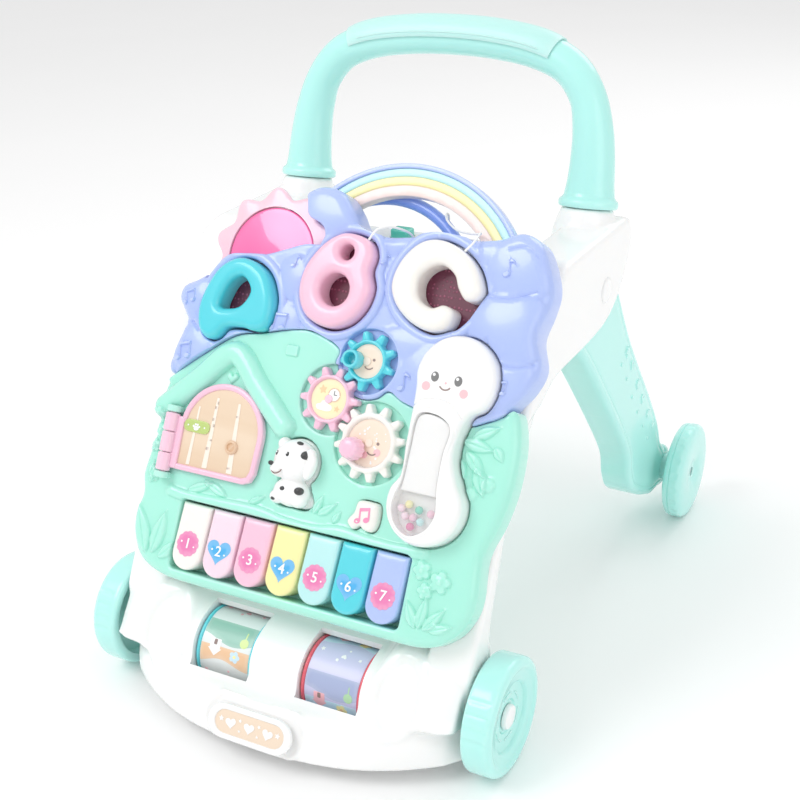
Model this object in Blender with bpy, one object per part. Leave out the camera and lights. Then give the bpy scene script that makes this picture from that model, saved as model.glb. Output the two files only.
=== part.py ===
"""Baby activity walker: a play panel on a white frame with a bow handle, four wheels and folding rear legs.

Sizes in this file are millimetres and objects are made in metres, with +Z up. The toy's front faces -Y.
Three empties carry the parts:
  walker  y = 0 at the front axle, z = 0 at the floor
  panel   X across, Y up the sloping play face, Z out of it
  handle  X across, Y up the leaning bow, Z towards the front
"""

import math

import bmesh
import bpy
from mathutils import Vector

MM = 0.001

# Wheels
WHEEL_RADIUS = 44.0
FRONT_WHEEL_X = 159.0
FRONT_WHEEL_WIDTH = 22.0
REAR_WHEEL_X = 162.5
REAR_WHEEL_WIDTH = 17.7
REAR_AXLE_Y = 404.0
AXLE_RADIUS = 4.0
BORE_GAP = 0.35
GAP = 0.3

# Play panel
PANEL_LEAN = math.radians(29.4)
PANEL_FOOT_Y = -86.4
SHELL_BACK = -14.0
LOWER_FRONT = 6.0
UPPER_FRONT = 7.0
WALL = 2.6
POCKET_FLOOR = 2.5
BOX_BACK = -34.0
BOX_HALF_WIDTH = 104.0
BOX_LOW = 130.0
BOX_HIGH = 380.0

# Keys
KEY_COUNT = 7
KEY_PITCH = 27.26
KEY_WIDTH = 25.4
FIRST_KEY_X = -82.8
KEY_LOW = 128.2
KEY_HIGH = 177.0
KEY_RAIL = (181.0, -6.0)

# Gears
GEAR_MODULE = 4.09
PINK_GEAR = (9.5, 271.5)
PINK_TEETH, WHITE_TEETH, TEAL_TEETH = 10, 12, 9
WHITE_DIRECTION = math.atan2(-24.8, 38.7)
TEAL_DIRECTION = math.atan2(32.5, 25.3)
ADDENDUM = 2.7
DEDENDUM = 3.3

# Letters, sun, rainbow and handset
LETTER_TOP = 17.0
LETTER_FOOT = 0.0
SUN = (-69.5, 366.0)
SUN_RADIUS = 36.0
PETALS = 10
SUN_LOW, SUN_HIGH = -9.0, -3.6
RAINBOW = (29.5, 343.5)
RAINBOW_OUTER, RAINBOW_INNER = 103.0, 80.0
TUBE = (9.0, 349.0)
TUBE_RADIUS = 73.6
TUBE_HEIGHT = -28.2
TUBE_THICKNESS = 9.0

# Door
DOOR_PIN = (-115.0, 12.0)
DOOR_LOW, DOOR_HIGH = 196.0, 239.5
PIN_RADIUS = 2.5

# Frame, legs and rollers
BEAM_INSIDE, BEAM_OUTSIDE = 112.0, 146.0
ARM_INSIDE, ARM_OUTSIDE = 109.0, 149.0
ARM_TOP = 327.0
BUMPER_HALF_WIDTH = 143.0
BUMPER_LOW = 12.0
PLAQUE_FRONT_Y = -84.8
LEG_PIVOT = (208.0, 284.0)
LEG_ROUND = 34.0
LEG_INSIDE, LEG_OUTSIDE = 116.0, 142.0
SLOT_INSIDE, SLOT_OUTSIDE = 115.0, 143.0
LEG_PIN_RADIUS = 5.0
ROLLER_AXIS = (-14.0, 46.0)
ROLLER_RADIUS = 29.5
ROLLER_X = 45.85
ROLLER_HALF_LENGTH = 24.5
WINDOW_HALF_LENGTH = 25.3
ROLLER_AXLE_RADIUS = 3.0

# Handle
HANDLE_BASE = (235.8, 335.9)
HANDLE_LEAN = math.radians(13.5)
HANDLE_X = 122.0
HANDLE_TOP = 115.0

# Tether cords of the letters B and C, as points on the panel
CORD_RADIUS = 0.8
TETHER_B = [(21, 384, 19), (26, 391, 20), (32, 395, 14), (36, 396, 4), (38, 395.5, -8), (38.5, 391, -18),
            (38.5, 381.6, -20)]
TETHER_C = [(94, 385, 19), (97, 391, 16), (95, 400, 4), (89, 402, -9), (80, 402, -12), (68, 404, -15.5),
            (58, 410, -19.5), (54, 414.6, -23.5), (52, 417, -30), (51, 413.5, -35.6), (50.5, 405.5, -37),
            (49, 398.5, -35), (47.5, 390, -31), (46.5, 381.6, -28)]

MINT = (0.46, 0.86, 0.76)
PERIWINKLE = (0.50, 0.62, 0.95)
PINK = (0.95, 0.62, 0.74)
MAGENTA = (0.90, 0.16, 0.40)
TURQUOISE = (0.12, 0.72, 0.80)
AQUA = (0.55, 0.86, 0.86)
YELLOW = (0.95, 0.88, 0.42)
WHITE = (0.93, 0.93, 0.92)
CREAM = (0.90, 0.87, 0.80)
RED = (0.85, 0.10, 0.16)
STEEL = (0.60, 0.61, 0.63)
KEY_COLOURS = [CREAM, (0.95, 0.76, 0.84), PINK, YELLOW, AQUA, TURQUOISE, PERIWINKLE]


# ---------------------------------------------------------------- outlines

def circle(radius, count, centre=(0.0, 0.0), start=0.0):
    """A circle as points, counter-clockwise."""
    turn = 2 * math.pi / count
    return [(centre[0] + radius * math.cos(start + turn * i),
            centre[1] + radius * math.sin(start + turn * i))
            for i in range(count)]


def arc(centre, radius, first, last, count):
    """Points along an arc from first to last, in degrees."""
    angles = [math.radians(first + (last - first) * i / (count - 1)) for i in range(count)]
    return [(centre[0] + radius * math.cos(a), centre[1] + radius * math.sin(a)) for a in angles]


def rectangle(x0, x1, y0, y1, corner=0.0, steps=3):
    """A rectangle, with rounded corners if corner is given."""
    if corner == 0.0:
        return [(x0, y0), (x1, y0), (x1, y1), (x0, y1)]
    centres = [(x1 - corner, y0 + corner, -90), (x1 - corner, y1 - corner, 0),
               (x0 + corner, y1 - corner, 90), (x0 + corner, y0 + corner, 180)]
    points = []
    for x, y, first in centres:
        points += arc((x, y), corner, first, first + 90, steps + 1)
    return points


def smooth(points, parts=3, closed=True):
    """A curve through the points, with parts steps between each two."""
    count = len(points)
    result = []
    for i in range(count if closed else count - 1):
        if closed:
            p = [points[(i + k) % count] for k in (-1, 0, 1, 2)]
        else:
            p = [points[min(max(i + k, 0), count - 1)] for k in (-1, 0, 1, 2)]
        for j in range(parts):
            t = j / parts
            result.append(tuple(
                0.5 * (2 * b + (c - a) * t + (2 * a - 5 * b + 4 * c - d) * t ** 2 + (3 * b - a - 3 * c + d) * t ** 3)
                for a, b, c, d in zip(*p)))
    return result if closed else result + [points[-1]]


def offset(outline, distance):
    """The counter-clockwise outline moved outwards by distance."""
    moved = []
    for i, here in enumerate(outline):
        before, after = outline[i - 1], outline[(i + 1) % len(outline)]
        in_x, in_y = here[0] - before[0], here[1] - before[1]
        out_x, out_y = after[0] - here[0], after[1] - here[1]
        in_length, out_length = math.hypot(in_x, in_y), math.hypot(out_x, out_y)
        n1 = (in_y / in_length, -in_x / in_length)
        n2 = (out_y / out_length, -out_x / out_length)
        reach = distance / max(1 + n1[0] * n2[0] + n1[1] * n2[1], 0.7)
        moved.append((here[0] + (n1[0] + n2[0]) * reach, here[1] + (n1[1] + n2[1]) * reach))
    return moved


def gear_outline(teeth, phase):
    """A toy gear with blunt teeth, one of them centred on the angle phase."""
    pitch_radius = GEAR_MODULE * teeth / 2
    step = 2 * math.pi / teeth
    shape = [(-0.31, -DEDENDUM), (-0.15, ADDENDUM - 0.8), (-0.09, ADDENDUM), (0.09, ADDENDUM),
             (0.15, ADDENDUM - 0.8), (0.31, -DEDENDUM)]
    points = []
    for tooth in range(teeth):
        for part, rise in shape:
            angle = phase + (tooth + part) * step
            radius = pitch_radius + rise
            points.append((radius * math.cos(angle), radius * math.sin(angle)))
    return points


# ---------------------------------------------------------------- solids

def loft(rings, closed=False):
    """Vertices and faces of a skin through rings of equal length."""
    size = len(rings[0])
    vertices = [point for ring in rings for point in ring]
    faces = []
    for i in range(len(rings) if closed else len(rings) - 1):
        j = (i + 1) % len(rings)
        for k in range(size):
            m = (k + 1) % size
            faces.append((i * size + k, i * size + m, j * size + m, j * size + k))
    if not closed:
        faces.append(tuple(reversed(range(size))))
        faces.append(tuple(range(len(vertices) - size, len(vertices))))
    return vertices, faces


def both(*solids):
    """Several separate solids as one."""
    vertices, faces = [], []
    for more_vertices, more_faces in solids:
        start = len(vertices)
        vertices += more_vertices
        faces += [tuple(start + i for i in face) for face in more_faces]
    return vertices, faces


def prism(outline, low, high, round_top=0.0, round_foot=0.0, steps=2, tilt=(0.0, 0.0)):
    """An outline raised from low to high. tilt is the height where the top starts to slope, and the slope along Y."""
    levels = []
    if round_foot:
        for i in range(steps + 1):
            a = math.pi / 2 * i / steps
            levels.append((-round_foot * (1 - math.sin(a)), low + round_foot * (1 - math.cos(a)), 0.0))
    else:
        levels.append((0.0, low, 0.0))
    if round_top:
        for i in range(steps + 1):
            a = math.pi / 2 * i / steps
            levels.append((-round_top * (1 - math.cos(a)), high - round_top * (1 - math.sin(a)), 1.0))
    else:
        levels.append((0.0, high, 1.0))
    rings = []
    for inset, level, sloping in levels:
        ring = offset(outline, inset) if inset else outline
        rings.append([(x, y, level + sloping * tilt[1] * (y - tilt[0])) for x, y in ring])
    return loft(rings)


def along_x(outline, x0, x1, round_ends=0.0):
    """An outline in (y, z) stretched from x0 to x1."""
    solid, faces = prism(outline, min(x0, x1), max(x0, x1), round_top=round_ends, round_foot=round_ends)
    return [(z, x, y) for x, y, z in solid], faces


def along_y(outline, y0, y1):
    """An outline in (x, z) stretched from y0 to y1."""
    solid, faces = prism(outline, min(y0, y1), max(y0, y1))
    return [(x, z, y) for x, y, z in solid], faces


def lathe_x(profile, count=28):
    """A closed profile of (x, radius) turned round the X axis."""
    rings = []
    for i in range(count):
        a = 2 * math.pi * i / count
        rings.append([(x, r * math.cos(a), r * math.sin(a)) for x, r in profile])
    return loft(rings, closed=True)


def moved(solid, x=0.0, y=0.0, z=0.0):
    return [(a + x, b + y, c + z) for a, b, c in solid[0]], solid[1]


# ---------------------------------------------------------------- Blender objects

def clear_scene():
    for obj in list(bpy.data.objects):
        bpy.data.objects.remove(obj, do_unlink=True)


def empty(name, parent=None, at=(0, 0, 0), lean=None):
    obj = bpy.data.objects.new(name, None)
    bpy.context.scene.collection.objects.link(obj)
    obj.parent = parent
    obj.location = Vector(at) * MM
    if lean is not None:
        obj.rotation_euler.x = math.pi / 2 - lean
    return obj


def material(name, colour, roughness=0.35, metallic=0.0):
    made = bpy.data.materials.new(name)
    made.use_nodes = True
    shader = made.node_tree.nodes["Principled BSDF"]
    shader.inputs["Base Color"].default_value = (*colour, 1.0)
    shader.inputs["Roughness"].default_value = roughness
    shader.inputs["Metallic"].default_value = metallic
    return made


def add(name, solid, parent, at=(0, 0, 0), colour=None, roughness=0.35, metallic=0.0):
    """A mesh object from vertices and faces, whose coordinates count from at."""
    mesh = bpy.data.meshes.new(name)
    mesh.from_pydata([(x * MM, y * MM, z * MM) for x, y, z in solid[0]], [], solid[1])
    work = bmesh.new()
    work.from_mesh(mesh)
    bmesh.ops.recalc_face_normals(work, faces=work.faces)
    work.to_mesh(mesh)
    work.free()
    obj = bpy.data.objects.new(name, mesh)
    bpy.context.scene.collection.objects.link(obj)
    obj.parent = parent
    obj.location = Vector(at) * MM
    if colour is not None:
        mesh.materials.append(material(name, colour, roughness, metallic))
    return obj


def combine(obj, operation, solid, name):
    """Adds or takes away a solid, given in the object's own coordinates."""
    helper = add(f"{obj.name}_{name}", solid, obj.parent, at=Vector(obj.location) / MM)
    helper.hide_render = True
    helper.display_type = "WIRE"
    step = obj.modifiers.new(name, "BOOLEAN")
    step.operation = operation
    step.solver = "EXACT"
    step.object = helper


def join(obj, solid, name):
    combine(obj, "UNION", solid, name)


def cut(obj, solid, name):
    combine(obj, "DIFFERENCE", solid, name)


def bent_rod(name, points, diameter, parent, colour, resolution=3):
    """A round rod or cord through the points."""
    curve = bpy.data.curves.new(name, "CURVE")
    curve.dimensions = "3D"
    curve.bevel_depth = diameter / 2 * MM
    curve.bevel_resolution = resolution
    curve.use_fill_caps = True
    spline = curve.splines.new("POLY")
    spline.points.add(len(points) - 1)
    for slot, point in zip(spline.points, points):
        slot.co = (*(c * MM for c in point), 1.0)
    curve.materials.append(material(name, colour))
    obj = bpy.data.objects.new(name, curve)
    bpy.context.scene.collection.objects.link(obj)
    obj.parent = parent
    return obj


# ---------------------------------------------------------------- frame

def bumper_front(x):
    """How far forward the bumper's lip reaches at x."""
    return -79.0 + 51.0 * (abs(x) / BUMPER_HALF_WIDTH) ** 2.6


def bumper_section(x, inset=0.0):
    """The bumper's outline in (y, z) at x: low with a round roller cover in the middle, raised over the wheels."""
    front = bumper_front(x)
    cover = [(ROLLER_AXIS[0] + 33 * math.cos(math.radians(a)),
            ROLLER_AXIS[1] + 33 * math.sin(math.radians(a)))
             for a in (172, 150, 125, 100)]
    middle = [(front + 3, BUMPER_LOW), (front, 16), (front + 5, 30), (front + 14, 43), (-53, 46), *cover,
              (-6, 81), (6, 82), (17, 82), (20, 78), (20, BUMPER_LOW)]
    fender = [(front + 3, BUMPER_LOW), (front, 16), (front + 2, 30), (front + 6, 42), (-49, 52),
            (-43, 61), (-36, 71),
              (-27, 81), (-15, 89), (-2, 93), (9, 94), (17, 93), (20, 88), (20, BUMPER_LOW)]
    side = min(max((abs(x) - 76.0) / 14.0, 0.0), 1.0)
    side = side * side * (3 - 2 * side)
    outline = [(a + (c - a) * side, b + (d - b) * side) for (a, b), (c, d) in zip(middle, fender)]
    if inset:
        outline = offset(list(reversed(outline)), -inset)
        outline = [(y, z if z > BUMPER_LOW + inset + 1 else BUMPER_LOW - 5) for y, z in reversed(outline)]
    return [(x, y, z) for y, z in outline]


def bumper_solid(half_width, inset=0.0):
    stations = [half_width * t for t in (-1, -0.94, -0.84, -0.72, -0.6, -0.52, -0.28, 0)]
    stations += [-x for x in reversed(stations[:-1])]
    rings = []
    for x in stations:
        shrink = 3.0 * max(0.0, abs(x) / half_width - 0.94) / 0.06 if not inset else 0.0
        rings.append(bumper_section(x, inset + shrink) if inset else
                     [(px, py + shrink * (1 if py < -20 else 0), pz - shrink * (1 if pz > 60 else 0))
                      for px, py, pz in bumper_section(x)])
    return loft(rings)


def on_panel_back(v, height):
    """(y, z) of a point at v up the panel and height out of it."""
    return (PANEL_FOOT_Y + v * math.sin(PANEL_LEAN) - height * math.cos(PANEL_LEAN),
            v * math.cos(PANEL_LEAN) + height * math.sin(PANEL_LEAN))


def beam_outline():
    rest = SHELL_BACK - GAP
    return [(-24, 58), on_panel_back(103, rest), on_panel_back(330, rest), (118, 268), (89, 238), (58, 200),
            (36, 160), (16, 112), (10, 80), (10, 58)][::-1]


def arm_outline():
    rest = SHELL_BACK - GAP
    return [on_panel_back(276, rest), on_panel_back(345, rest), (112, 314), (126, 323), (142, ARM_TOP),
            (250, ARM_TOP), (259, 324), (263, 314), (262, 300), (251, 283), (235, 267), (212, 256),
            (175, 252), (118, 250), (92, 240)][::-1]


def leg_outline():
    top = arc(LEG_PIVOT, LEG_ROUND, 40, 190, 8)
    axle = (REAR_AXLE_Y, WHEEL_RADIUS)
    front = [(171, 263), (173, 250), (205, 216), (262, 150), (298, 104), (305, 80), (317, 60),
            (344, 42), (372, 29)]
    foot = arc(axle, 20, -120, 90, 7)
    back = [(391, 78), (379, 103), (352, 140), (295, 211), (262, 262)]
    return top + front + foot + back


def make_frame(walker):
    frame = add("frame_shell", bumper_solid(BUMPER_HALF_WIDTH), walker, colour=WHITE)
    cut(frame, bumper_solid(BUMPER_HALF_WIDTH - 3.2, inset=3.0), "hollow")
    sweep = [(142, 235), (144, 256), (149, 271), (156, 290), (164, 308), (173, 319.5), (208, 319.5), (222, 316),
            (226, 235)][::-1]
    leg_room = offset(leg_outline(), 0.8)
    socket = []
    for side in (-1, 1):
        rings = []
        for y, z, wide, deep in ((229, 314, 25, 24), (231.5, 326, 22.5, 21.5),
                (HANDLE_BASE[0], HANDLE_BASE[1] - 0.4, 19.5, 18.5)):
            rings.append([(side * HANDLE_X + wide * math.cos(a), y + deep * math.sin(a),
                    z - 0.24 * deep * math.sin(a) * (z > 330))
                          for a in [2 * math.pi * i / 20 for i in range(20)]])
        socket.append(loft(rings))
    for side, name in ((-1, "left"), (1, "right")):
        join(frame, along_x(beam_outline(), side * BEAM_INSIDE, side * BEAM_OUTSIDE, 2.5), f"beam_{name}")
        join(frame, along_x(arm_outline(), side * ARM_INSIDE, side * ARM_OUTSIDE, 3), f"arm_{name}")
        cut(frame, along_x(offset(arm_outline(), -3.4), side * (ARM_INSIDE + 3.2),
                side * (ARM_OUTSIDE - 3.2)), f"arm_hollow_{name}")
    join(frame, both(*socket), "sockets")
    join(frame, along_x(rectangle(139, 168, 296, 326, 5), -111, 111), "cross_member")
    for side, name in ((-1, "left"), (1, "right")):
        cut(frame, along_x(sweep, side * SLOT_INSIDE, side * SLOT_OUTSIDE), f"leg_sweep_{name}")
        cut(frame, along_x(leg_room, side * SLOT_INSIDE, side * SLOT_OUTSIDE), f"leg_room_{name}")
        cut(frame, along_x(circle(LEG_PIN_RADIUS + BORE_GAP, 20, LEG_PIVOT), side * 100, side * 160),
                f"leg_pin_bore_{name}")
        window = [(-7.5, 30), (-7.5, 86), (-47, 86), (-47, 39), (-40, 30)][::-1]
        centre = side * ROLLER_X
        cut(frame, along_x(window, centre - WINDOW_HALF_LENGTH, centre + WINDOW_HALF_LENGTH),
                f"window_{name}")
        ribs = [along_x(rectangle(-40, 4, 14.5, 70), x - 1.5, x + 1.5) for x in (side * 18.0, side * 73.7)]
        join(frame, both(*ribs), f"ribs_{name}")
        boss = along_x(circle(13, 20, (0, WHEEL_RADIUS)), side * 138, side * 147.2)
        join(frame, boss, f"axle_boss_{name}")
        inner_boss = along_x(circle(9, 16, (0, WHEEL_RADIUS)), side * 120, side * 141)
        join(frame, inner_boss, f"inner_boss_{name}")
        bore = along_x(circle(AXLE_RADIUS + BORE_GAP, 20, (0, WHEEL_RADIUS)), side * 115, side * 160)
        cut(frame, bore, f"axle_bore_{name}")
    cut(frame, along_x(circle(ROLLER_AXLE_RADIUS + BORE_GAP, 16, ROLLER_AXIS), -90, 90), "roller_axle_bore")
    cut(frame, prism(rectangle(4, 20, 143, 155), 312, 340), "latch_pocket")
    latch = prism(rectangle(-7.6, 7.6, -5.6, 5.6, 2), -8, 6, round_top=1.2)
    add("latch_button", latch, walker, at=(12, 149, 326), colour=MINT)
    cover = [(x, bumper_front(x) + 9.5) for x in [-130 + 20 * i for i in range(14)]]
    cover += [(130, 15), (-130, 15)]
    add("frame_bottom_cover", prism(cover, 12.2, 14.2), walker, colour=WHITE)


def make_legs(walker):
    for side, name in ((-1, "left"), (1, "right")):
        outline = [(y - LEG_PIVOT[0], z - LEG_PIVOT[1]) for y, z in leg_outline()]
        solid = along_x(outline, side * LEG_INSIDE, side * LEG_OUTSIDE, 3)
        leg = add(f"rear_leg_{name}", solid, walker, at=(0, *LEG_PIVOT), colour=MINT)
        axle = (REAR_AXLE_Y - LEG_PIVOT[0], WHEEL_RADIUS - LEG_PIVOT[1])
        inner = offset(list(reversed(outline)), -3.0)
        cut(leg, along_x(inner, side * (LEG_INSIDE - 2), side * (LEG_OUTSIDE - 3)), "hollow")
        join(leg, along_x(circle(10, 16), side * (LEG_INSIDE + 1), side * (LEG_OUTSIDE - 1)), "pin_boss")
        join(leg, along_x(circle(9, 16, axle), side * (LEG_INSIDE + 5), side * (LEG_OUTSIDE - 1)),
                "axle_boss")
        join(leg, along_x(circle(12, 20, axle), side * 136, side * 153.2), "wheel_boss")
        cut(leg, along_x(circle(LEG_PIN_RADIUS + BORE_GAP, 20), side * 110, side * 150), "pin_bore")
        cut(leg, along_x(circle(AXLE_RADIUS + BORE_GAP, 20, axle), side * 122, side * 160), "axle_bore")
        pin = along_x(circle(LEG_PIN_RADIUS, 20), side * (ARM_INSIDE + 1), side * (ARM_OUTSIDE - 1))
        add(f"leg_pivot_pin_{name}", pin, walker, at=(0, *LEG_PIVOT), colour=STEEL, metallic=1.0)


def wheel_profile(width, radius, side, hub_out, hub_in):
    """(x, radius) round a wheel: a dished outer face, and an inner face that is hollow behind the web."""
    half = width / 2
    bore = AXLE_RADIUS + BORE_GAP
    shape = [(-hub_in, bore), (-hub_in, 10), (-1, 11), (-1, radius - 8.5), (-half, radius - 7),
            (-half, radius - 2),
             (-half + 2, radius), (half - 4.5, radius), (half - 1.2, radius - 1.8), (half, radius - 5.5),
             (half - 6, 17), (hub_out, 10.5), (hub_out, bore)]
    return [(side * x, r) for x, r in shape]


def make_wheels(walker):
    for side, name in ((-1, "left"), (1, "right")):
        front = lathe_x(wheel_profile(FRONT_WHEEL_WIDTH, WHEEL_RADIUS, side, 4.0,
                FRONT_WHEEL_WIDTH / 2), 28)
        add(f"front_wheel_{name}", front, walker, at=(side * FRONT_WHEEL_X, 0, WHEEL_RADIUS), colour=MINT)
        stub = along_x(circle(AXLE_RADIUS, 20, (0, WHEEL_RADIUS)), side * 116, side * 163.2)
        add(f"front_axle_{name}", stub, walker, colour=STEEL, metallic=1.0)
        cap = along_x(circle(9, 20, (0, WHEEL_RADIUS)), side * 163.6, side * 167.2)
        add(f"front_hub_cap_{name}", cap, walker, colour=WHITE)
        half = REAR_WHEEL_WIDTH / 2
        bore = AXLE_RADIUS + BORE_GAP
        rear = [(-half, bore), (-half, 10), (half - 5, 11), (half - 4, WHEEL_RADIUS - 7),
                (-half, WHEEL_RADIUS - 6),
                (-half + 1.5, WHEEL_RADIUS - 2.2), (-half + 4, WHEEL_RADIUS), (half - 5, WHEEL_RADIUS),
                (half - 2, WHEEL_RADIUS - 1.6), (half - 0.6, WHEEL_RADIUS - 6), (half, 30),
                (half - 3.5, 14), (half - 3.5, bore)]
        rear = lathe_x([(side * x, r) for x, r in rear], 28)
        add(f"rear_wheel_{name}", rear, walker, at=(side * REAR_WHEEL_X, REAR_AXLE_Y, WHEEL_RADIUS),
                colour=MINT)
        stub = along_x(circle(AXLE_RADIUS, 20, (REAR_AXLE_Y, WHEEL_RADIUS)), side * 123, side * 167.5)
        add(f"rear_axle_{name}", stub, walker, colour=STEEL, metallic=1.0)


def make_rollers(walker):
    edge = ROLLER_HALF_LENGTH
    bore = ROLLER_AXLE_RADIUS + BORE_GAP
    skin = ROLLER_RADIUS - 1.2
    right = [(1.2, 7), (edge, 7), (edge, bore)]
    left = [(-edge, bore), (-edge, 7), (-1.2, 7)]
    drum = [(-1.2, skin - 2.4), (3 - edge, skin - 2.4), (3 - edge, 20), (-edge, 20), (-edge, ROLLER_RADIUS),
            (3 - edge, ROLLER_RADIUS), (3 - edge, skin), (edge - 3, skin), (edge - 3, ROLLER_RADIUS),
            (edge, ROLLER_RADIUS), (edge, 20), (edge - 3, 20), (edge - 3, skin - 2.4), (1.2, skin - 2.4)]
    shape = left + drum + right
    for side, name, colour in ((-1, "left", TURQUOISE), (1, "right", RED)):
        add(f"roller_{name}", lathe_x(shape, 20), walker, at=(side * ROLLER_X, *ROLLER_AXIS), colour=colour)
    rod = along_x(circle(ROLLER_AXLE_RADIUS, 16, ROLLER_AXIS), -75, 75)
    add("roller_axle", rod, walker, colour=STEEL, metallic=1.0)


def make_plaque(walker):
    """A blank oval plaque on the bumper's sloping front."""
    slope = math.atan2(27, 14)
    holder = empty("plaque_seat", walker, at=(0, bumper_front(0) + 4.0, 30.5))
    holder.rotation_euler.x = slope
    oval = rectangle(-35, 35, -12.5, 12.5, 12.4, 5)
    add("bumper_plaque", prism(oval, 2.2, 5.0, round_top=1.0), holder, colour=CREAM)


# ---------------------------------------------------------------- handle

def handle_path():
    """(x, y) of the bow's centre line from its right foot to its left foot."""
    right = [(HANDLE_X, 0), (HANDLE_X, 14), (121.5, 34), (119, 56), (112, 79), (96, 98), (70, 108.5),
            (36, 113.6)]
    left = [(-x, y) for x, y in reversed(right)]
    return smooth(right + [(0, HANDLE_TOP)] + left, 1, closed=False)


def handle_station(path, i):
    """The centre, outward normal and section half widths of the bow at path point i."""
    before, after = path[max(i - 1, 0)], path[min(i + 1, len(path) - 1)]
    dx, dy = after[0] - before[0], after[1] - before[1]
    length = math.hypot(dx, dy)
    rise = path[i][1] / HANDLE_TOP
    wide = 19.0 - 5.5 * min(1.0, rise * 1.5)
    deep = 17.5 - 3.5 * min(1.0, rise * 1.5)
    return path[i], (dy / length, -dx / length), wide, deep


def make_handle(walker):
    bow = empty("handle", walker, at=(0, *HANDLE_BASE), lean=HANDLE_LEAN)
    path = handle_path()
    collar = [(HANDLE_X, 0, 4.0), (HANDLE_X, 4, 4.0), (HANDLE_X, 7, 1.0)]
    angles = [2 * math.pi * i / 14 for i in range(14)]

    def section(centre, normal, wide, deep):
        return [(centre[0] + normal[0] * wide * math.cos(a), centre[1] + normal[1] * wide * math.cos(a),
                 deep * math.sin(a)) for a in angles]

    foot = [section((x, y), (1, 0), 18.5 + flare, 17.0 + flare) for x, y, flare in collar]
    other = [section((-x, y), (-1, 0), 18.5 + flare, 17.0 + flare) for x, y, flare in collar]
    middle = [section(*handle_station(path, i)) for i in range(1, len(path) - 1)]
    tube = add("handle_bow", loft(foot + middle + list(reversed(other))), bow, colour=MINT)
    wall = 2.8
    inner = [section((HANDLE_X, y), (1, 0), 18.5 - wall, 17.0 - wall) for y in (-9, 7)]
    inner += [section(place, normal, wide - wall, deep - wall) for place, normal, wide, deep in
              [handle_station(path, i) for i in range(1, len(path) - 1)]]
    inner += [section((-HANDLE_X, y), (-1, 0), 18.5 - wall, 17.0 - wall) for y in (7, -9)]
    cut(tube, loft(inner), "bore")

    arch = [math.radians(a) for a in range(-96, 97, 24)]
    rings = []
    for i, (x, _) in enumerate(path):
        if abs(x) > 88 or path[i][1] < 80:
            continue
        centre, normal, wide, deep = handle_station(path, i)
        outer = [(wide + 2.4, deep + 2.4, a) for a in arch]
        inner = [(wide + 0.4, deep + 0.4, a) for a in reversed(arch)]
        rings.append([(centre[0] + normal[0] * w * math.cos(a), centre[1] + normal[1] * w * math.cos(a),
                       d * math.sin(a)) for w, d, a in outer + inner])
    add("handle_grip", loft(rings), bow, colour=AQUA)


# ---------------------------------------------------------------- play panel

def seam():
    """The line between the lower and upper shells, from left to right."""
    teal = gear_places()["teal"][0]
    round_teal = arc(teal, 26.5, 168, 318, 8)
    return [(-131, 262), (-123, 270), (-101, 288), (-78, 304), (-56, 309), (-33, 315), (-14, 316),
            *round_teal,
            (66, 279), (90, 274), (114, 271), (130, 277), (139, 282), (147, 287)]


def lower_outline():
    foot = [(-138, 190), (-135, 176), (-138, 160), (-135, 143), (-125, 128), (-104, 119.5), (-70, 118),
            (0, 118), (80, 118), (115, 119.5), (133, 129), (143, 144), (146, 160), (144, 188), (151, 212), (155, 238),
            (154, 266)]
    right = list(reversed(seam()))
    left = [(-134, 247), (-133, 226), (-136, 206)]
    return offset(smooth(foot + right + left, 2), -0.25)


def upper_outline():
    right = [(153, 303), (157, 318), (151, 337), (154, 354), (155, 370), (149, 386), (140, 399),
            (126, 404), (110, 398),
             (92, 396), (66, 397), (44, 392), (25, 390), (6, 394)]
    sun_side = [(-4, 406), (-16, 417), (-34, 419), (-52, 409), (-80, 394), (-100, 376), (-112, 354)]
    left = [(-122, 341), (-134, 335), (-136, 324), (-127, 312), (-127, 299), (-131, 286), (-134, 275),
            (-131, 268)]
    return offset(smooth(seam()[1:-1] + [(145.5, 291.5)] + right + sun_side + left, 2), -0.25)


def gear_places():
    """Each gear's centre, teeth and phase, in mesh with the pink gear."""
    half = GEAR_MODULE / 2
    pink_phase = WHITE_DIRECTION
    places = {"pink": (PINK_GEAR, PINK_TEETH, pink_phase)}
    for name, teeth, direction in (("white", WHITE_TEETH, WHITE_DIRECTION),
            ("teal", TEAL_TEETH, TEAL_DIRECTION)):
        reach = half * (PINK_TEETH + teeth)
        centre = (PINK_GEAR[0] + reach * math.cos(direction), PINK_GEAR[1] + reach * math.sin(direction))
        past = half * PINK_TEETH * (pink_phase - direction)
        phase = direction + math.pi - (past + math.pi * half) / (half * teeth)
        places[name] = (centre, teeth, phase)
    return places


def letter_a():
    return smooth([(-112, 305), (-104, 298), (-96, 300), (-89, 308), (-76, 310), (-66, 309), (-57, 312),
                   (-53, 321), (-55, 336), (-63, 350), (-76, 358), (-90, 359), (-103, 351), (-111, 337),
                   (-115, 320)], 2)


def letter_b():
    return smooth([(-7, 320), (9, 325), (19, 337), (22, 351), (18, 363), (19, 374), (14, 383), (3, 387),
                   (-10, 386), (-23, 376), (-33, 359), (-34, 341), (-25, 326)], 2)


def letter_c(mouth=True):
    outer = [(84, 333), (71, 329), (55, 334), (42, 345), (37, 358), (41, 374), (52, 387), (66, 391),
             (82, 387), (96, 377), (104, 363), (102, 355)]
    inner = [(94, 353), (87, 360), (82, 369), (72, 374), (62, 370), (57, 361), (60, 350), (70, 345),
             (79, 348), (87, 344)]
    points = outer + inner if mouth else outer + [(97, 345), (90, 336)]
    return smooth(list(reversed(points)), 2)


def shifted(outline, u=0.0, v=0.0):
    return [(x + u, y + v) for x, y in outline]


LETTER_SHIFT = 5.0


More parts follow.
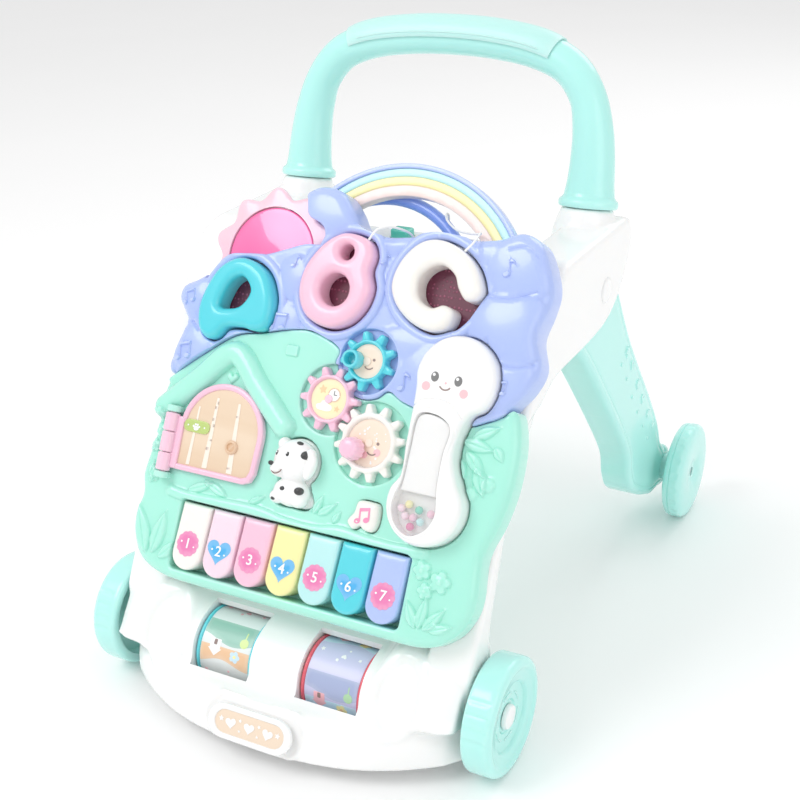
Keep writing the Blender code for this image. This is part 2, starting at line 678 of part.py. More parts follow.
def handset_outline():
    head = arc((105.5, 300.5), 29, -36, 200, 12)
    foot = arc((101, 214), 27.5, 140, 402, 12)
    return head + [(79, 272), (79.4, 250)] + foot + [(115, 249), (115.4, 264), (120, 277)]


def door_outline():
    arch = arc((-72, 232), 36, 0, 180, 11)
    arch = [(x, max(y, 232) if x > -72 else y) for x, y in arch[:-1]]
    return [(-111.3, 199), (-46, 199), (-37, 208), *arch, (-109, 238), (-111.3, 232)]


def dog_outline():
    head = arc((-6.5, 223), 18.2, -45, 225, 10)
    body = [(-19.5, 205), (-22.5, 196), (-14.5, 191.5), (-4.5, 191.5), (6.5, 191.5), (12.5, 196), (8.5, 205)]
    return head + body


def note_outline():
    return smooth([(43, 192), (48, 187), (53, 190), (57, 188), (63, 188), (66, 194), (65, 206), (59, 208),
                   (49, 207), (47, 199)], 2)


def petal_outline(first=0.0, last=360.0, count=80, gap=0.0):
    """The sun's petals from first to last, in degrees, as seen from its centre."""
    points = []
    for i in range(count):
        angle = math.radians(first + (last - first) * i / count)
        radius = 47.3 + 3.8 * math.cos(PETALS * (angle - math.radians(25))) + gap
        points.append((radius * math.cos(angle), radius * math.sin(angle)))
    return points


def shell(name, outline, front, panel, colour, posts):
    """A moulded cover, open at the back, with a rounded front edge and a post for each gear that it carries."""
    body = add(name, prism(outline, SHELL_BACK, front, round_top=3.0, steps=1), panel, colour=colour)
    cut(body, prism(offset(outline, -WALL), SHELL_BACK - 1, 0.0), "hollow")
    for gear, (centre, teeth, _) in gear_places().items():
        radius = GEAR_MODULE * teeth / 2 + ADDENDUM + 1.8
        cut(body, prism(circle(radius, 36, centre), POCKET_FLOOR, 12), f"{gear}_recess")
    cut(body, prism(offset(handset_outline(), 1.3), POCKET_FLOOR, 12), "cradle")
    for gear in posts:
        join(body, prism(circle(4.5, 20, gear_places()[gear][0]), POCKET_FLOOR - 1.5, 9.0), f"{gear}_post")
    return body


def make_lower_shell(panel):
    body = shell("panel_lower_shell", lower_outline(), LOWER_FRONT, panel, MINT, ("pink", "white"))
    keys = rectangle(FIRST_KEY_X - KEY_PITCH / 2 - 0.8, FIRST_KEY_X + (KEY_COUNT - 0.5) * KEY_PITCH + 0.8,
                     KEY_LOW - 1.5, KEY_HIGH + 2.0, 3)
    cut(body, prism(keys, -20, 12), "key_window")
    cut(body, prism(offset(dog_outline(), 0.7), -20, 12), "dog_hole")
    cut(body, prism(offset(note_outline(), 0.7), -20, 12), "note_hole")
    cut(body, prism(rectangle(-103, -42, 204, 254, 5), POCKET_FLOOR, 12), "doorway")
    roof = [(-125, 243), (-100, 268), (-75, 290), (-50, 270), (-24, 247)]
    path = smooth(roof, 3, closed=False)
    rings = []
    for i, (x, y) in enumerate(path):
        dx = path[min(i + 1, len(path) - 1)][0] - path[max(i - 1, 0)][0]
        dy = path[min(i + 1, len(path) - 1)][1] - path[max(i - 1, 0)][1]
        length = math.hypot(dx, dy)
        taper = 0.75 if i in (0, len(path) - 1) else 1.0
        rings.append([(x - dy / length * 7.5 * taper * math.cos(a),
                y + dx / length * 7.5 * taper * math.cos(a),
                       5.5 + 7 * taper * math.sin(a)) for a in [2 * math.pi * k / 12 for k in range(12)]])
    join(body, loft(rings), "roof")
    lug = rectangle(-119.5, -110.5, 5, 15.5)
    join(body, both(along_y(lug, 191, 195.4), along_y(lug, 240.1, 244.5)), "door_lugs")
    cut(body, along_y(circle(PIN_RADIUS + BORE_GAP, 16, DOOR_PIN), 192.5, 243), "door_pin_bore")


def make_upper_shell(panel):
    body = shell("panel_upper_shell", upper_outline(), UPPER_FRONT, panel, PERIWINKLE, ("teal",))
    for letter, outline in (("a", letter_a()), ("b", letter_b()), ("c", letter_c(mouth=False))):
        cut(body, prism(offset(shifted(outline, LETTER_SHIFT), 1.3), -20, 12), f"letter_{letter}_recess")
    front_edge = [(-22, 377.5), (-36, 377), (-50, 372), (-66, 366), (-82, 364), (-98, 361.5),
                  (-106.5, 352.5), (-112.5, 342.5)]
    seat = shifted(petal_outline(14, 208, 52, 1.8), *SUN) + list(reversed(front_edge))
    join(body, prism(circle(42, 30, SUN), SUN_LOW - 3.4, SUN_LOW - 0.4), "sun_backing")
    cut(body, prism(seat, SUN_LOW - 0.4, 12), "sun_seat")
    floor = [(-122, 300), (-98, 296), (-80, 308), (-58, 314), (-36, 320), (-12, 320.5), (6, 313), (26, 313),
             (40, 322), (104, 322), (118, 350), (112, 380), (90, 384), (30, 385), (-26, 386), (-52, 362),
             (-106, 356)]
    add("letter_floor", prism(floor, -3.2, -0.5), panel, colour=(0.30, 0.05, 0.12), roughness=0.6)


def make_panel_back(panel):
    box = rectangle(-BOX_HALF_WIDTH, BOX_HALF_WIDTH, BOX_LOW, BOX_HIGH, 8)
    cover = add("panel_back_cover", prism(box, BOX_BACK, SHELL_BACK - GAP), panel, colour=MINT)
    cut(cover, prism(offset(box, -2.5), BOX_BACK + 2.5, 0), "hollow")
    cut(cover, prism(rectangle(-40, 40, 150, 206, 4), BOX_BACK - 5, BOX_BACK + 5), "battery_opening")
    add("battery_cover", prism(rectangle(-39.5, 39.5, 150.5, 205.5, 3.5), BOX_BACK, BOX_BACK + 2.2),
            panel, colour=MINT)
    pack = prism(rectangle(-34, 34, 154, 202, 3), BOX_BACK + 3, BOX_BACK + 17.5)
    add("battery_pack", pack, panel, colour=(0.15, 0.16, 0.18))
    add("speaker", prism(circle(22, 24, (-55, 300)), BOX_BACK + 3.2, BOX_BACK + 15, round_top=3), panel,
            colour=STEEL, metallic=1.0)
    add("circuit_board", prism(rectangle(-90, 60, 192, 262), -11.0, -9.4), panel, colour=(0.05, 0.32, 0.14))


def make_sun(panel):
    ring = add("sun_petals", prism(petal_outline(), SUN_LOW, SUN_HIGH, round_top=1.5, steps=1), panel,
            at=(*SUN, 0), colour=PINK)
    cut(ring, prism(circle(SUN_RADIUS + 0.5, 36), SUN_LOW - 3, 5), "hole")
    add("sun_mirror", prism(circle(SUN_RADIUS, 36), SUN_LOW, SUN_HIGH, round_top=1.0, steps=1), panel,
            at=(*SUN, 0), colour=MAGENTA, roughness=0.1)


def make_rainbow(panel):
    outer = arc(RAINBOW, RAINBOW_OUTER, 31, 142, 19)
    inner = arc(RAINBOW, RAINBOW_INNER, 142, 31, 19)
    add("rainbow_arch", prism(outer + inner, SHELL_BACK - GAP - 9, SHELL_BACK - GAP), panel, colour=AQUA)
    low = math.degrees(math.asin((BOX_HIGH + 4 - TUBE[1]) / TUBE_RADIUS))
    points = [(x, y, TUBE_HEIGHT) for x, y in arc(TUBE, TUBE_RADIUS, low, 180 - low, 17)]
    points = [(points[0][0], BOX_HIGH + GAP, TUBE_HEIGHT)] + points + [(points[-1][0], BOX_HIGH + GAP,
            TUBE_HEIGHT)]
    bent_rod("rainbow_tube", points, TUBE_THICKNESS, panel, PERIWINKLE, 2)


def make_letters(panel):
    holes = {"a": [smooth([(-98, 323), (-88, 322), (-79, 326), (-74, 337), (-83, 346), (-93, 340)], 2)],
             "b": [circle(5.5, 14, (-2, 374)), circle(11.5, 20, (-6, 347))], "c": []}
    outlines = {"a": letter_a(), "b": letter_b(), "c": letter_c()}
    colours = {"a": TURQUOISE, "b": PINK, "c": CREAM}
    for letter, outline in outlines.items():
        solid = prism(shifted(outline, LETTER_SHIFT), LETTER_FOOT, LETTER_TOP, round_top=2.6)
        body = add(f"letter_{letter}", solid, panel, colour=colours[letter])
        for i, hole in enumerate(holes[letter]):
            cut(body, prism(shifted(hole, LETTER_SHIFT), -5, 30), f"hole_{i}")


def make_gears(panel):
    colours = {"pink": PINK, "white": CREAM, "teal": TURQUOISE}
    for name, (centre, teeth, phase) in gear_places().items():
        solid = prism(gear_outline(teeth, phase), POCKET_FLOOR + 0.6, 11.0, round_top=0.9, steps=1)
        gear = add(f"gear_{name}", solid, panel, at=(*centre, 0), colour=colours[name])
        cut(gear, prism(circle(4.5 + BORE_GAP, 20), 0, 9.4), "bore")
        if name == "teal":
            join(gear, moved(prism(circle(6.5, 20), 9, 19, round_top=1.5), -9, -0.6), "cup")
            cut(gear, moved(prism(circle(4.0, 16), 13, 25), -9, -0.6), "cup_hollow")
    centre = gear_places()["white"][0]
    knob = prism(circle(8.0, 20), 11.3, 23.0, round_top=3.0)
    knob = ([(x * (1.0 - 0.018 * (z - 11)), y * (1.0 - 0.018 * (z - 11)), z) for x, y, z in knob[0]],
            knob[1])
    add("gear_white_knob", moved(knob, -9, -6), panel, at=(*centre, 0), colour=PINK)


def make_door(panel):
    solid = moved(prism(door_outline(), 7.0, 11.6, round_top=1.2, steps=1), -DOOR_PIN[0], 0, -DOOR_PIN[1])
    door = add("house_door", solid, panel, at=(DOOR_PIN[0], 0, DOOR_PIN[1]), colour=PINK)
    join(door, along_y(circle(5.4, 20), DOOR_LOW, DOOR_HIGH), "barrel")
    cut(door, along_y(circle(PIN_RADIUS + BORE_GAP, 16), DOOR_LOW - 5, DOOR_HIGH + 5), "bore")
    pin = along_y(circle(PIN_RADIUS, 16), 193, 242.5)
    add("door_pin", pin, panel, at=(DOOR_PIN[0], 0, DOOR_PIN[1]), colour=PINK)


def make_buttons(panel):
    add("dog_button", prism(dog_outline(), -3, 22, round_top=5, steps=3), panel, colour=WHITE)
    add("note_button", prism(note_outline(), -3, 11, round_top=1.5), panel, colour=WHITE)


def make_keys(panel):
    for i in range(KEY_COUNT):
        half = KEY_WIDTH / 2
        low = KEY_LOW - KEY_HIGH
        outline = arc((0, low + half), half, 180, 360, 9) + [(half, 0), (-half, 0)]
        solid = prism(outline, -8, 5.5, round_top=1.6, tilt=(0.0, -0.08))
        place = (FIRST_KEY_X + i * KEY_PITCH, KEY_HIGH, 0)
        add(f"key_{i + 1}", solid, panel, at=place, colour=KEY_COLOURS[i])
    rail = along_x(circle(3, 16, KEY_RAIL), -95, 95)
    add("key_rail", rail, panel, colour=STEEL, metallic=1.0)


def make_handset(panel):
    outline = handset_outline()
    body = add("handset_shell", prism(outline, POCKET_FLOOR + 0.6, 23.0, round_top=5, steps=3), panel,
            colour=WHITE)
    window = smooth([(83, 228), (80, 210), (85.5, 198), (96, 192.5), (107, 198), (112.5, 210), (110, 228),
                     (109.5, 250), (110.5, 268), (98, 275), (85, 272), (83.5, 250)], 2)
    cut(body, prism(window, 14.0, 40), "bead_chamber")
    add("handset_window", prism(offset(window, -0.4), 20.4, 22.4), panel, colour=(0.88, 0.88, 0.86),
            roughness=0.15)


def make_tethers(panel):
    bent_rod("tether_b", smooth(TETHER_B, 2, closed=False), 2 * CORD_RADIUS, panel, WHITE, 2)
    bent_rod("tether_c", TETHER_C, 2 * CORD_RADIUS, panel, WHITE, 2)


def round_shading():
    for obj in bpy.context.scene.objects:
        if obj.type == "MESH" and not obj.hide_render:
            for face in obj.data.polygons:
                face.use_smooth = True
            obj.data.set_sharp_from_angle(angle=math.radians(32))


def main():
    clear_scene()
    middle_y = (PLAQUE_FRONT_Y + REAR_AXLE_Y + WHEEL_RADIUS) / 2
    walker = empty("walker", at=(0, -middle_y, 0))
    panel = empty("panel", walker, at=(0, PANEL_FOOT_Y, 0), lean=PANEL_LEAN)
    make_frame(walker)
    make_legs(walker)
    make_wheels(walker)
    make_rollers(walker)
    make_plaque(walker)
    make_handle(walker)
    make_lower_shell(panel)
    make_upper_shell(panel)
    make_panel_back(panel)
    make_sun(panel)
    make_rainbow(panel)
    make_letters(panel)
    make_gears(panel)
    make_door(panel)
    make_buttons(panel)
    make_keys(panel)
    make_handset(panel)
    make_tethers(panel)
    round_shading()


main()
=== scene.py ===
"""Looks for the baby walker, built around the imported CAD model.
Sizes inside this file are millimetres, objects are in metres."""

import math
import random

import bmesh
import bpy
import numpy as np
from mathutils import Matrix, Vector
from mathutils.geometry import delaunay_2d_cdt


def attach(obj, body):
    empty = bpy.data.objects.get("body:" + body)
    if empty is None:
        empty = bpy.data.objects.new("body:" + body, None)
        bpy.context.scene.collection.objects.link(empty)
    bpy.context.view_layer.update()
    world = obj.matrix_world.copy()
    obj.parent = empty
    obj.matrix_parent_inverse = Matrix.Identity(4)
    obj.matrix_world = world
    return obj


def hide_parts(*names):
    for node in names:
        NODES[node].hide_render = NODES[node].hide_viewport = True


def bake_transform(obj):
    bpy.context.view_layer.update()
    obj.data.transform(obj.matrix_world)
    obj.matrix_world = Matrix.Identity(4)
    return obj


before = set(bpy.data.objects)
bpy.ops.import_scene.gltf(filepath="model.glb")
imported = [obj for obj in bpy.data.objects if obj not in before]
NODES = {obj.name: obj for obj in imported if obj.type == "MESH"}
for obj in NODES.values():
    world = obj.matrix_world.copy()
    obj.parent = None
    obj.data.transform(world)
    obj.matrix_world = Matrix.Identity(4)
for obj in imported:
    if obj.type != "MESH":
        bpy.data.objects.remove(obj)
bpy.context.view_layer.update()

MM = 0.001
THIN = 0.15    # of small prints

# ------------------------------------------------------------------ sizes shared with the CAD part
WHEEL_RADIUS = 44.0
FRONT_WHEEL_X, REAR_WHEEL_X = 159.0, 162.5
REAR_AXLE_Y = 404.0
MIDDLE_Y = 181.6
PANEL_LEAN = math.radians(29.4)
PANEL_FOOT_Y = -86.4
SHELL_BACK = -14.0
LOWER_FRONT, UPPER_FRONT = 6.0, 7.0
POCKET_FLOOR = 2.5
KEY_COUNT, KEY_PITCH, KEY_WIDTH, FIRST_KEY_X = 7, 27.26, 25.4, -82.8
KEY_LOW, KEY_HIGH = 128.2, 177.0
GEAR_MODULE = 4.09
PINK_GEAR = (9.5, 271.5)
PINK_TEETH, WHITE_TEETH, TEAL_TEETH = 10, 12, 9
WHITE_DIRECTION = math.atan2(-24.8, 38.7)
TEAL_DIRECTION = math.atan2(32.5, 25.3)
ADDENDUM, DEDENDUM = 2.7, 3.3
SUN = (-69.5, 366.0)
PETAL_COUNT, PETAL_TURN = 10, math.radians(25)
RAINBOW = (29.5, 343.5)
TUBE, TUBE_RADIUS, TUBE_HEIGHT = (9.0, 349.0), 73.6, -28.2
BOX_HIGH = 380.0
HANDLE_BASE = (235.8, 335.9)
HANDLE_LEAN = math.radians(13.5)
HANDLE_X, HANDLE_TOP = 122.0, 115.0
LEG_PIVOT = (208.0, 284.0)
ROLLER_AXIS, ROLLER_X, ROLLER_RADIUS, ROLLER_HALF = (-14.0, 46.0), 45.85, 29.5, 24.5
LETTER_TOP = 17.3
AXLE_BORE, PIVOT_BORE, ROLLER_BORE = 4.35, 5.35, 3.35
TETHER_B = [(21, 384, 19), (26, 391, 20), (32, 395, 14), (36, 396, 4), (38, 395.5, -8), (38.5, 391, -18),
            (38.5, 381.6, -20)]
TETHER_C = [(94, 385, 19), (97, 391, 16), (95, 400, 4), (89, 402, -9), (80, 402, -12), (68, 404, -15.5),
            (58, 410, -19.5),
            (54, 414.6, -23.5), (52, 417, -30), (51, 413.5, -35.6), (50.5, 405.5, -37), (49, 398.5, -35),
            (47.5, 390, -31),
            (46.5, 381.6, -28)]

# ------------------------------------------------------------------ spaces
def matrix(origin, x, y, z):
    """World matrix of a space whose units are millimetres."""
    m = Matrix((x, y, z)).transposed().to_4x4()
    m.translation = Vector(origin)
    return Matrix.Scale(MM, 4) @ m


SIN, COS = math.sin(PANEL_LEAN), math.cos(PANEL_LEAN)
WALKER = matrix((0, -MIDDLE_Y, 0), (1, 0, 0), (0, 1, 0), (0, 0, 1))
PANEL = matrix((0, PANEL_FOOT_Y - MIDDLE_Y, 0), (1, 0, 0), (0, SIN, COS), (0, -COS, SIN))
HANDLE = matrix((0, HANDLE_BASE[0] - MIDDLE_Y, HANDLE_BASE[1]), (1, 0, 0),
                (0, math.sin(HANDLE_LEAN), math.cos(HANDLE_LEAN)),
                (0, -math.cos(HANDLE_LEAN), math.sin(HANDLE_LEAN)))


def moved(space, x, y, z):
    return space @ Matrix.Translation((x, y, z))


def placed(points, space):
    """The points of a space in world metres."""
    m = np.array(space)
    return np.asarray(points, float) @ m[:3, :3].T + m[:3, 3]


# ------------------------------------------------------------------ outlines
def turns(count):
    return np.arange(count) * 2 * math.pi / count


def circle(radius, count=48, centre=(0.0, 0.0)):
    a = turns(count)
    return np.stack([centre[0] + radius * np.cos(a), centre[1] + radius * np.sin(a)], 1)


def arc(centre, radius, first, last, count):
    a = np.radians(np.linspace(first, last, count))
    return np.stack([centre[0] + radius * np.cos(a), centre[1] + radius * np.sin(a)], 1)


def crescent(centre, outer, inner, first, last, count):
    return np.vstack([arc(centre, outer, first, last, count), arc(centre, inner, last, first, count)])


def smooth(points, parts=6, closed=True):
    """A Catmull-Rom curve through the points."""
    p = np.asarray(points, float)
    n = len(p)
    out = []
    for i in range(n if closed else n - 1):
        q = [p[(i + k) % n] if closed else p[min(max(i + k, 0), n - 1)] for k in (-1, 0, 1, 2)]
        for t in np.arange(parts) / parts:
            out.append(0.5 * (2 * q[1] + (q[2] - q[0]) * t + (2 * q[0] - 5 * q[1] + 4 * q[2] - q[3]) * t ** 2
                              + (3 * q[1] - q[0] - 3 * q[2] + q[3]) * t ** 3))
    if not closed:
        out.append(p[-1])
    return np.array(out)


def resample(points, step, closed=True):
    """Evenly spaced points along the line."""
    p = np.asarray(points, float)
    if closed:
        p = np.vstack([p, p[:1]])
    length = np.concatenate([[0], np.cumsum(np.linalg.norm(np.diff(p, axis=0), axis=1))])
    count = max(int(round(length[-1] / step)), 3)
    s = np.linspace(0, length[-1], count + 1)
    out = np.stack([np.interp(s, length, p[:, k]) for k in range(p.shape[1])], 1)
    return out[:-1] if closed else out


def area(points):
    x, y = points[:, 0], points[:, 1]
    return 0.5 * np.sum(x * np.roll(y, -1) - np.roll(x, -1) * y)


def offset(outline, distance):
    """The outline moved outwards by distance."""
    p = np.asarray(outline, float)
    if area(p) < 0:
        p = p[::-1]
    a, b = p - np.roll(p, 1, 0), np.roll(p, -1, 0) - p
    a /= np.linalg.norm(a, axis=1, keepdims=True) + 1e-9
    b /= np.linalg.norm(b, axis=1, keepdims=True) + 1e-9
    n1, n2 = np.stack([a[:, 1], -a[:, 0]], 1), np.stack([b[:, 1], -b[:, 0]], 1)
    reach = distance / np.maximum(1 + np.sum(n1 * n2, 1), 0.7)
    return p + (n1 + n2) * reach[:, None]


def turned(outline, angle=0.0, at=(0.0, 0.0), scale=1.0):
    p = np.asarray(outline, float) * scale
    c, s = math.cos(math.radians(angle)), math.sin(math.radians(angle))
    return np.stack([at[0] + c * p[:, 0] - s * p[:, 1], at[1] + s * p[:, 0] + c * p[:, 1]], 1)


def line_distance(points, line, closed=False, use=None):
    """Distance from each point to a line of points, or to the parts of it that use picks."""
    a = np.asarray(line, float)
    b = np.roll(a, -1, 0) if closed else a[1:]
    a = a if closed else a[:-1]
    if use is not None:
        a, b = a[use], b[use]
    best = np.full(len(points), 1e9)
    for p, q in zip(a, b):
        d = q - p
        t = np.clip(((points - p) @ d) / (d @ d + 1e-12), 0, 1)
        best = np.minimum(best, np.sum((points - p - t[:, None] * d) ** 2, 1))
    return np.sqrt(best)


def inside(points, outline):
    x, y = points[:, 0], points[:, 1]
    o = np.asarray(outline, float)
    odd = np.zeros(len(points), bool)
    for (x0, y0), (x1, y1) in zip(o, np.roll(o, -1, 0)):
        if y0 == y1:
            continue
        odd ^= ((y0 > y) != (y1 > y)) & (x < (x1 - x0) * (y - y0) / (y1 - y0) + x0)
    return odd


def signed(points, outline):
    """Distance to the outline, negative inside it."""
    d = line_distance(points, outline, closed=True)
    return np.where(inside(points, outline), -d, d)


def step_up(x):
    x = np.clip(x, 0, 1)
    return x * x * (3 - 2 * x)


def edge_drop(depth, radius):
    """How far a rounded edge lies below the flat top, at depth inside the edge."""
    t = np.clip(1 - depth / radius, 0, 1)
    return radius * (1 - np.sqrt(1 - t * t))


# ------------------------------------------------------------------ objects
def new_object(name, vertices, faces, space):
    """An object from points in a space, its faces turned outwards."""
    mesh = bpy.data.meshes.new(name)
    mesh.from_pydata(placed(vertices, space).tolist(), [], [tuple(int(i) for i in f) for f in faces])
    work = bmesh.new()
    work.from_mesh(mesh)
    bmesh.ops.recalc_face_normals(work, faces=work.faces)
    work.to_mesh(mesh)
    work.free()
    obj = bpy.data.objects.new(name, mesh)
    bpy.context.scene.collection.objects.link(obj)
    return obj


def finish_mesh(name, vertices, faces, space, body, material, sharp=40, replaces=()):
    """A mesh object from points in a space, riding on a CAD body."""
    obj = new_object(name, vertices, faces, space)
    shade(obj, sharp)
    obj.data.materials.append(M[material])
    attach(obj, body)
    if replaces:
        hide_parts(*replaces)
    return obj


def shade(obj, sharp=40):
    for face in obj.data.polygons:
        face.use_smooth = True
    obj.data.set_sharp_from_angle(angle=math.radians(sharp))


def relief_mesh(outline, height, low, holes=(), lines=(), spacing=2.0, edge=1.0,
                rings=(0.3, 0.9, 1.8, 3.0, 4.5)):
    """(vertices, faces) of a plate whose top is the function height(points), closed by walls and a flat back.
    lines are curves that the top's points follow; rings are distances inside every edge that get points too."""
    outer = resample(outline, edge)
    if area(outer) < 0:
        outer = outer[::-1]
    loops = [outer]
    for hole in holes:
        h = resample(hole, edge)
        loops.append(h[::-1] if area(h) > 0 else h)

    def allowed(points, margin):
        ok = signed(points, outer) < -margin
        for h in loops[1:]:
            ok &= signed(points, h) > margin
        return ok

    def triangulated(points):
        """Points, the triangles between the outline and its holes, and where each given point went."""
        got = delaunay_2d_cdt([Vector(p) for p in points.tolist()], edges, [], 0, 1e-4)
        flat, triangles = np.array([tuple(v) for v in got[0]]), np.array(got[2])
        centre = flat[triangles].mean(1)
        ok = inside(centre, outer)
        for h in loops[1:]:
            ok &= ~inside(centre, h)
        return flat, triangles[ok].tolist(), {given: i for i, many in enumerate(got[3]) for given in many}

    extra = []
    for ring in rings:
        for loop in loops:
            a, b = loop - np.roll(loop, 1, 0), np.roll(loop, -1, 0) - loop
            t = a / (np.linalg.norm(a, axis=1,
                                    keepdims=True) + 1e-9) + b / (np.linalg.norm(b, axis=1, keepdims=True) + 1e-9)
            t /= np.linalg.norm(t, axis=1, keepdims=True) + 1e-9
            p = loop - np.stack([t[:, 1], -t[:, 0]], 1) * ring
            extra.append(p[allowed(p, ring * 0.93)])
    for line in lines:
        p = np.asarray(line, float)
        extra.append(p[allowed(p, min(rings) * 0.9 if len(rings) else 0.2)])
    low_corner, high_corner = outer.min(0), outer.max(0)
    xs = np.arange(low_corner[0] + spacing / 2, high_corner[0], spacing)
    ys = np.arange(low_corner[1] + spacing / 2, high_corner[1], spacing * 0.866)
    grid = np.array([(x + (spacing / 2 if j % 2 else 0), y) for j,
                     y in enumerate(ys) for x in xs]).reshape(-1, 2)
    margin = (max(rings) if len(rings) else 0) + spacing * 0.45
    if len(grid):
        grid = grid[allowed(grid, margin)]
    ringed = np.vstack(extra) if extra else np.zeros((0, 2))
    if len(grid) and len(ringed):
        cell = spacing * 0.55
        taken = set(map(tuple, np.round(ringed / cell).astype(int).tolist()))
        grid = np.array([g for g in grid.tolist()
                         if tuple(np.round(np.array(g) / cell).astype(int)) not in taken]).reshape(-1, 2)
    points = np.vstack([*loops, ringed, grid])
    edges, start = [], 0
    for loop in loops:
        n = len(loop)
        edges += [(start + i, start + (i + 1) % n) for i in range(n)]
        start += n
    top, triangles, used = triangulated(points)
    flat, back, behind = triangulated(points[:start])
    count = len(top)
    faces = [tuple(t) for t in triangles]
    faces += [tuple(count + i for i in reversed(t)) for t in back]
    start = 0
    for loop in loops:
        n = len(loop)
        for i in range(n):
            a, b = start + i, start + (i + 1) % n
            faces.append((used[a], count + behind[a], count + behind[b], used[b]))
        start += n
    return np.vstack([np.column_stack([top, height(top)]),
                      np.column_stack([flat, np.full(len(flat), low)])]), faces


def relief(name, outline, height, low, space, body, material, replaces=(), sharp=40, **options):
    return finish_mesh(name, *relief_mesh(outline, height, low, **options), space, body, material, sharp,
                       replaces)


def puffy(high, radius, crown=0.0, over=20.0, outline=None, holes=()):
    """A height function: flat top with rounded edges, and a slight crown."""
    def height(points):
        depth = line_distance(points, resample(outline, 1.0), closed=True)
        for hole in holes:
            depth = np.minimum(depth, line_distance(points, resample(hole, 1.0), closed=True))
        return high - edge_drop(depth, radius) + crown * step_up(depth / over)
    return height


def plate(name, outline, low, high, space, body, material, radius=1.5, crown=0.0, over=20.0, holes=(),
          **options):
    """A plate with rounded front edges."""
    rings = options.pop("rings", tuple(radius * t for t in (0.07, 0.25, 0.55, 1.0)))
    return relief(name, outline, puffy(high, radius, crown, over, outline, holes), low, space, body,
                  material,
                  holes=holes, rings=rings, **options)


def lathe(name, profile, space, body, material, count=72, axis="x", replaces=()):
    """A closed profile of (along, radius) turned round the space's X, Y or Z axis."""
    p = np.asarray(profile, float)
    n = len(p)
    vertices = []
    for i in range(count):
        a = 2 * math.pi * i / count
        for along, r in p:
            c, s = r * math.cos(a), r * math.sin(a)
            vertices.append({"x": (along, c, s), "y": (c, along, s), "z": (c, s, along)}[axis])
    faces = []
    for i in range(count):
        j = (i + 1) % count
        for k in range(n):
            m = (k + 1) % n
            faces.append((i * n + k, i * n + m, j * n + m, j * n + k))
    return finish_mesh(name, vertices, faces, space, body, material, 35, replaces)


def skin(rings, capped=True):
    """(vertices, faces) through rings of equal length."""
    size = len(rings[0])
    vertices = np.vstack(rings)
    faces = []
    for i in range(len(rings) - 1):
        for k in range(size):
            m = (k + 1) % size
            faces.append((i * size + k, i * size + m, (i + 1) * size + m, (i + 1) * size + k))
    if capped:
        faces.append(tuple(range(size - 1, -1, -1)))
        faces.append(tuple(range((len(rings) - 1) * size, len(rings) * size)))
    return vertices, faces


def prism(outline, low, high, along=0):
    """(vertices, faces) of an outline carried from low to high along X, or along Z where along is 2."""
    p = np.asarray(outline, float)
    ends = [np.full((len(p), 1), at) for at in (low, high)]
    return skin([np.hstack([p, e] if along else [e, p]) for e in ends])


def tube_mesh(path, radius, around):
    """(vertices, faces) of a round tube along the path with rounded ends."""
    p = np.asarray(path, float)
    a = turns(around)
    tangent = np.gradient(p, axis=0)
    tangent /= np.linalg.norm(tangent, axis=1, keepdims=True)
    side = np.cross(tangent[0], (0.13, 0.21, 0.97))
    side /= np.linalg.norm(side)
    rings = []
    for i in range(len(p)):
        side = side - tangent[i] * (side @ tangent[i])
        side /= np.linalg.norm(side)
        other = np.cross(tangent[i], side)
        rings.append(p[i] + radius * (np.cos(a)[:, None] * side + np.sin(a)[:, None] * other))
    first = [p[0] - tangent[0] * radius * t + (rings[0] - p[0]) * math.sqrt(1 - t * t)
             for t in (0.97, 0.8, 0.45)]
    last = [p[-1] + tangent[-1] * radius * t + (rings[-1] - p[-1]) * math.sqrt(1 - t * t)
            for t in (0.45, 0.8, 0.97)]
    return skin(first + rings + last)


def ball_mesh(centre, radii, rings, around, turn=0.0):
    """(vertices, faces) of an ellipsoid."""
    c, s = math.cos(math.radians(turn)), math.sin(math.radians(turn))
    b = turns(around)
    out = []
    for i in range(1, rings):
        a = math.pi * i / rings
        x, y, z = radii[0] * math.sin(a) * np.cos(b), radii[1] * math.sin(a) * np.sin(b), np.full(around, -radii[2] * math.cos(a))
        out.append(np.stack([centre[0] + c * x - s * y, centre[1] + s * x + c * y, centre[2] + z], 1))
    vertices, faces = skin(out, capped=False)
    low, high = len(vertices), len(vertices) + 1
    vertices = np.vstack([vertices, [[centre[0], centre[1], centre[2] - radii[2]],
                                     [centre[0], centre[1], centre[2] + radii[2]]]])
    faces += [(low, (k + 1) % around, k) for k in range(around)]
    last = (rings - 2) * around
    faces += [(high, last + k, last + (k + 1) % around) for k in range(around)]
    return vertices, faces


def together(*solids):
    vertices, faces, start = [], [], 0
    for v, f in solids:
        vertices.append(np.asarray(v, float))
        faces += [tuple(start + i for i in face) for face in f]
        start += len(v)
    return np.vstack(vertices), faces


def apply_modifiers(obj):
    graph = bpy.context.evaluated_depsgraph_get()
    made = bpy.data.meshes.new_from_object(obj.evaluated_get(graph))
    old = obj.data
    obj.modifiers.clear()
    obj.data = made
    bpy.data.meshes.remove(old)


def melt(obj, voxel, smoothing):
    """Merges overlapping solids of one object into one smooth skin. voxel is in millimetres."""
    step = obj.modifiers.new("voxel", "REMESH")
    step.mode = "VOXEL"
    step.voxel_size = voxel * MM
    even = obj.modifiers.new("smooth", "SMOOTH")
    even.iterations = smoothing
    even.factor = 0.5
    apply_modifiers(obj)
    shade(obj, 180)


def carve(obj, solid, space):
    """Cuts a solid given in a space out of the object."""
    cutter = new_object("cutter", *solid, space)
    step = obj.modifiers.new("carve", "BOOLEAN")
    step.operation = "DIFFERENCE"
    step.solver = "EXACT"
    step.object = cutter
    apply_modifiers(obj)
    bpy.data.objects.remove(cutter, do_unlink=True)


